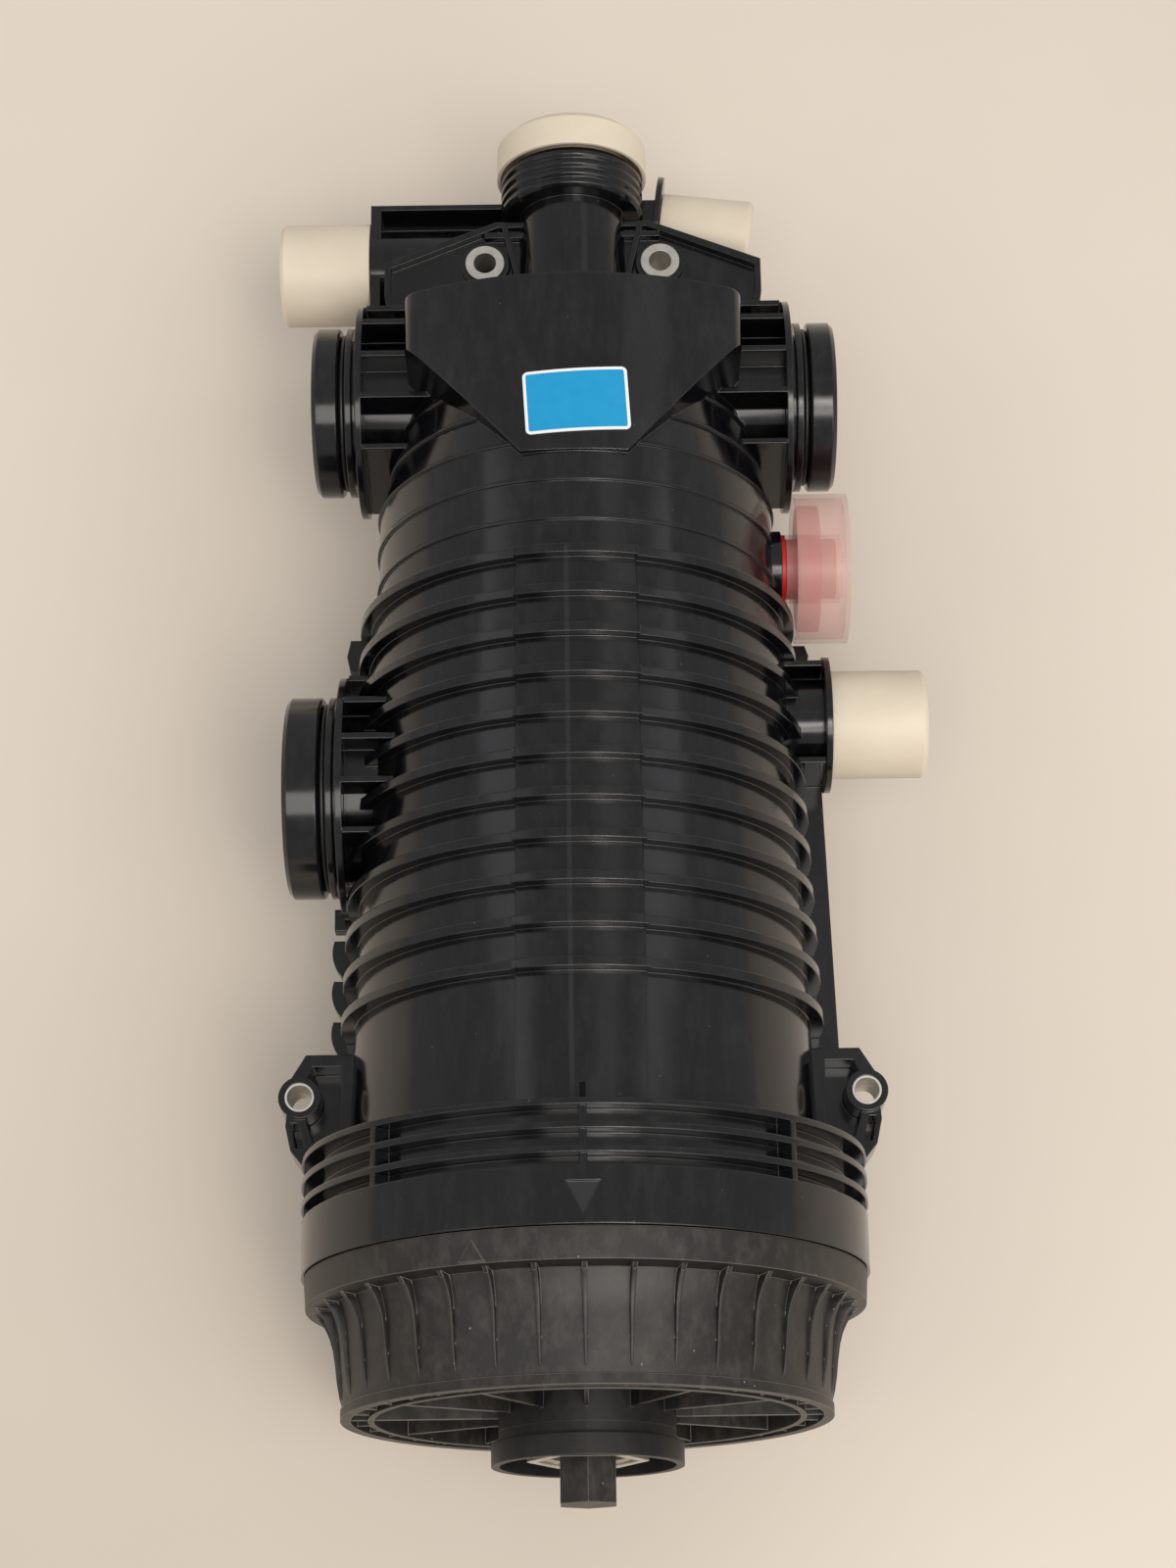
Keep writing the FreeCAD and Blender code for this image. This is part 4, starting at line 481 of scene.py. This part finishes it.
def frostedPlastic(name, look):
    made, tree, where = newMaterial(name)
    cloud = addNode(tree, "TexNoise", {"Vector": where, "Scale": 1 / (frostSkin["cloudSize"] * mm),
                                       "Detail": 4})
    rough = addNode(tree, "MapRange", {"Value": cloud.outputs["Fac"], "To Min": frostSkin["smooth"],
                                       "To Max": frostSkin["dull"]})
    milk = addNode(tree, "MapRange", {"Value": cloud.outputs["Fac"], "To Min": look["thin"],
                                      "To Max": look["thick"]})
    shader = addNode(tree, "BsdfPrincipled", {
        "Base Color": linear(look["colour"]), "Roughness": rough.outputs[0], "IOR": frostSkin["ior"],
        "Alpha": milk.outputs[0]})
    finishMaterial(tree, shader)
    return made


# Pleated glass-fibre paper, pressed: dry, cream and fibrous. Sizes in millimetres.
paperPaint = {"base": "#dccfa9", "shade": "#c3b388", "fibreSize": 0.8, "fibreDepth": 0.2, "fibre": 0.4,
              "rough": 0.9}


def filterPaper(name, look):
    made, tree, where = newMaterial(name)
    fibre = addNode(tree, "TexNoise", {"Vector": where, "Scale": 1 / (look["fibreSize"] * mm), "Detail": 6,
                                       "Roughness": 0.7})
    tint = addNode(tree, "Mix", {mixShare: fibre.outputs["Fac"], mixFirst: linear(look["base"]),
                                 mixSecond: linear(look["shade"])}, data_type="RGBA")
    bump = addNode(tree, "Bump", {"Height": fibre.outputs["Fac"], "Strength": look["fibre"],
                                  "Distance": look["fibreDepth"] * mm})
    shader = addNode(tree, "BsdfPrincipled", {"Base Color": tint.outputs[mixed], "Roughness": look["rough"],
                                              "Normal": bump.outputs[0]})
    finishMaterial(tree, shader)
    return made


# Polyester film: a glossy blue field inside a white border with round corners. Sizes in millimetres, tilt in
# degrees.
labelPaint = {"width": 38, "height": 25, "corner": 2, "border": 1.1, "tilt": 3, "inkSize": 5,
              "blue": "#008fcb", "paleBlue": "#1b9fd0", "white": "#eef2f2", "rough": 0.35, "ior": 1.5}


def labelFilm(name, look):
    made, tree, where = newMaterial(name)
    low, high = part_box("label")
    middle = [(a + b) / 2 for a, b in zip(low, high)]
    centred = addNode(tree, "VectorMath", {0: where, 1: middle}, operation="SUBTRACT")
    upright = addNode(tree, "VectorRotate", {"Vector": centred.outputs[0],
                                             "Angle": -math.radians(look["tilt"])}, rotation_type="Z_AXIS")
    folded = addNode(tree, "VectorMath", {0: upright.outputs[0]}, operation="ABSOLUTE")
    # the third value keeps the film's own curve out of the measure
    inner = [(look["width"] / 2 - look["corner"]) * mm, (look["height"] / 2 - look["corner"]) * mm, 1]
    beyond = addNode(tree, "VectorMath", {0: folded.outputs[0], 1: inner}, operation="SUBTRACT")
    outside = addNode(tree, "VectorMath", {0: beyond.outputs[0], 1: (0, 0, 0)}, operation="MAXIMUM")
    reach = addNode(tree, "VectorMath", {0: outside.outputs[0]}, operation="LENGTH")
    field = addNode(tree, "Math", {0: reach.outputs["Value"], 1: (look["corner"] - look["border"]) * mm},
                    operation="LESS_THAN")
    ink = addNode(tree, "TexNoise", {"Vector": where, "Scale": 1 / (look["inkSize"] * mm), "Detail": 3})
    blue = addNode(tree, "Mix", {mixShare: ink.outputs["Fac"], mixFirst: linear(look["blue"]),
                                 mixSecond: linear(look["paleBlue"])}, data_type="RGBA")
    tint = addNode(tree, "Mix", {mixShare: field.outputs[0], mixFirst: linear(look["white"]),
                                 mixSecond: blue.outputs[mixed]}, data_type="RGBA")
    shader = addNode(tree, "BsdfPrincipled", {"Base Color": tint.outputs[mixed], "Roughness": look["rough"],
                                              "IOR": look["ior"]})
    finishMaterial(tree, shader)
    return made


finishes = {
    "housingNylon": mouldedNylon("housingNylon", nylonPaint["housing"], markFront),
    "coverNylon": mouldedNylon("coverNylon", nylonPaint["cover"], cleanHub),
    "innerNylon": mouldedNylon("innerNylon", nylonPaint["inner"]),
    "capPolyethylene": softPolyethylene("capPolyethylene", capPaint),
    "zincSteel": brightSteel("zincSteel", steelPaint["zinc"]),
    "springSteel": brightSteel("springSteel", steelPaint["spring"]),
    "sealRubber": nitrileRubber("sealRubber", rubberPaint),
    "redPolyethylene": redPolyethylene("redPolyethylene", redPaint),
    "frostedCap": frostedPlastic("frostedCap", frostPaint["cap"]),
    "frostedWeb": frostedPlastic("frostedWeb", frostPaint["web"]),
    "filterPaper": filterPaper("filterPaper", paperPaint),
    "labelFilm": labelFilm("labelFilm", labelPaint),
}

worn = {
    "housingNylon": ["housing"],
    "coverNylon": ["cover", "drain_plug"],
    "innerNylon": ["element_lower_cap", "element_upper_cap", "bypass_valve_seat", "bypass_valve_poppet",
                   "bypass_valve_cage", "pressure_valve_seat", "pressure_valve_poppet",
                   "pressure_valve_cage"],
    "capPolyethylene": ["side_port_cap", "head_port_cap", "breather_cap", "neck_cap"],
    "zincSteel": ["collar_sleeves", "plate_sleeves", "drain_bush", "element_core"],
    "springSteel": ["bypass_valve_spring", "pressure_valve_spring"],
    "sealRubber": ["cover_seal", "drain_seal", "element_seal", "top_port_seals", "side_port_seal"],
    "redPolyethylene": ["indicator_plug"],
    "frostedCap": ["indicator_cap"],
    "filterPaper": ["element_media"],
    "labelFilm": ["label"],
}
for finish, names in worn.items():
    for name in names:
        mesh = nodes[name].data
        mesh.materials.clear()
        mesh.materials.append(finishes[finish])
print("stage: finishes given")

# The red disc between the indicator cap's inner tube and its rim, about an axis along X. Sizes in
# millimetres.
indicatorWeb = {"start": 83.5, "end": 91.5, "inner": 13.1, "outer": 24, "place": 205, "steps": 72,
                "soft": 0.6, "segments": 3, "sharp": 60}


def makeIndicatorWeb(look):
    shape = bmesh.new()
    near = look["place"] + look["inner"]
    far = look["place"] + look["outer"]
    drawLoop(shape, [(look["start"], near, 0), (look["end"], near, 0),
                     (look["end"], far, 0), (look["start"], far, 0)])
    bmesh.ops.spin(shape, geom=shape.verts[:] + shape.edges[:], cent=(0, look["place"] * mm, 0),
                   axis=(1, 0, 0), angle=math.tau, steps=look["steps"], use_merge=True)
    softenEdges(shape, look)
    for face in shape.faces:
        face.smooth = True
    web = placeMesh(shape, "indicatorWeb", finishes["frostedWeb"])
    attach(web, "indicator_cap")


makeIndicatorWeb(indicatorWeb)
print("stage: indicator web made")

# The cover's fins run on down its wall as low, thinning ridges. Each row gives the place along Y, the radius
# of the ridge's foot and of its crest, and its width. Sizes in millimetres.
finRidges = {
    "count": 36, "soft": 0.2, "segments": 2, "sharp": 60,
    "rows": [(-78, 88, 93.6, 1.75), (-80, 87.2, 92, 1.75), (-82, 86.5, 90.9, 1.72), (-85, 85.5, 89.5, 1.7),
             (-89, 85, 88.4, 1.5), (-94, 84.5, 87.6, 1.3), (-100, 84.2, 86.9, 1.1), (-105, 83.8, 86, 0.9),
             (-108, 83.5, 85.2, 0.7)],
}


def makeFinRidges(look):
    shape = bmesh.new()
    rings = []
    for place, foot, crest, width in look["rows"]:
        half = width / 2
        rings.append(drawLoop(shape, [(-half, place, foot), (-half, place, crest),
                                      (half, place, crest), (half, place, foot)]))
    for upper, lower in zip(rings, rings[1:]):
        bmesh.ops.bridge_loops(shape, edges=upper + lower)
    bmesh.ops.holes_fill(shape, edges=rings[0] + rings[-1], sides=4)
    softenEdges(shape, look)
    bmesh.ops.spin(shape, geom=shape.verts[:] + shape.edges[:] + shape.faces[:], cent=(0, 0, 0),
                   axis=(0, 1, 0), angle=math.tau * (1 - 1 / look["count"]), steps=look["count"] - 1,
                   use_duplicate=True)
    for face in shape.faces:
        face.smooth = True
    ridges = placeMesh(shape, "coverFinRidges", finishes["coverNylon"])
    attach(ridges, "cover")


makeFinRidges(finRidges)
print("stage: fin ridges made")

# The drain bush's raised hexagonal rim, near the edge of the hub cup. The profile gives the corner radius
# and the place along Y. Sizes in millimetres.
bushRim = {"profile": [(15, -122.5, 0), (15, -126.8, 0), (17.6, -126.8, 0), (17.6, -128, 0), (21.2, -128, 0),
                       (21.2, -122.5, 0)],
           "corners": 6, "soft": 0.3, "segments": 2, "sharp": 25}


def makeBushRim(look):
    shape = bmesh.new()
    drawLoop(shape, look["profile"])
    bmesh.ops.spin(shape, geom=shape.verts[:] + shape.edges[:], cent=(0, 0, 0), axis=(0, 1, 0),
                   angle=math.tau, steps=look["corners"], use_merge=True)
    softenEdges(shape, look)
    rim = placeMesh(shape, "drainBushRim", finishes["zincSteel"])
    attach(rim, "cover")


makeBushRim(bushRim)
print("stage: bush rim made")

# Each valve spring is welded into a coil of its own, fixed to the housing in place of its part. Sizes in
# millimetres.
valveSprings = {
    "bypass_valve_spring": {"joint": "bypass_valve_open", "fixedEnd": -36.7, "travel": 8, "weld": 0.01},
    "pressure_valve_spring": {"joint": "pressure_valve_open", "fixedEnd": 257.3, "travel": 8, "weld": 0.01},
}


def makeValveSpring(name, look):
    shape = bmesh.new()
    shape.from_mesh(nodes[name].data)
    bmesh.ops.remove_doubles(shape, verts=shape.verts, dist=look["weld"] * mm)
    bmesh.ops.transform(shape, matrix=nodes[name].matrix_world, verts=shape.verts)
    spring = placeMesh(shape, name + "_coil", finishes["springSteel"])
    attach(spring, "housing")
    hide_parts(name)
    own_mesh(spring)


for springName, springLook in valveSprings.items():
    makeValveSpring(springName, springLook)
print("stage: valve springs made")

makeCamera()
makeRoom()
makeLamps()
bpy.context.scene.view_settings.view_transform = "Standard"
print("stage: camera, room and lamps made")
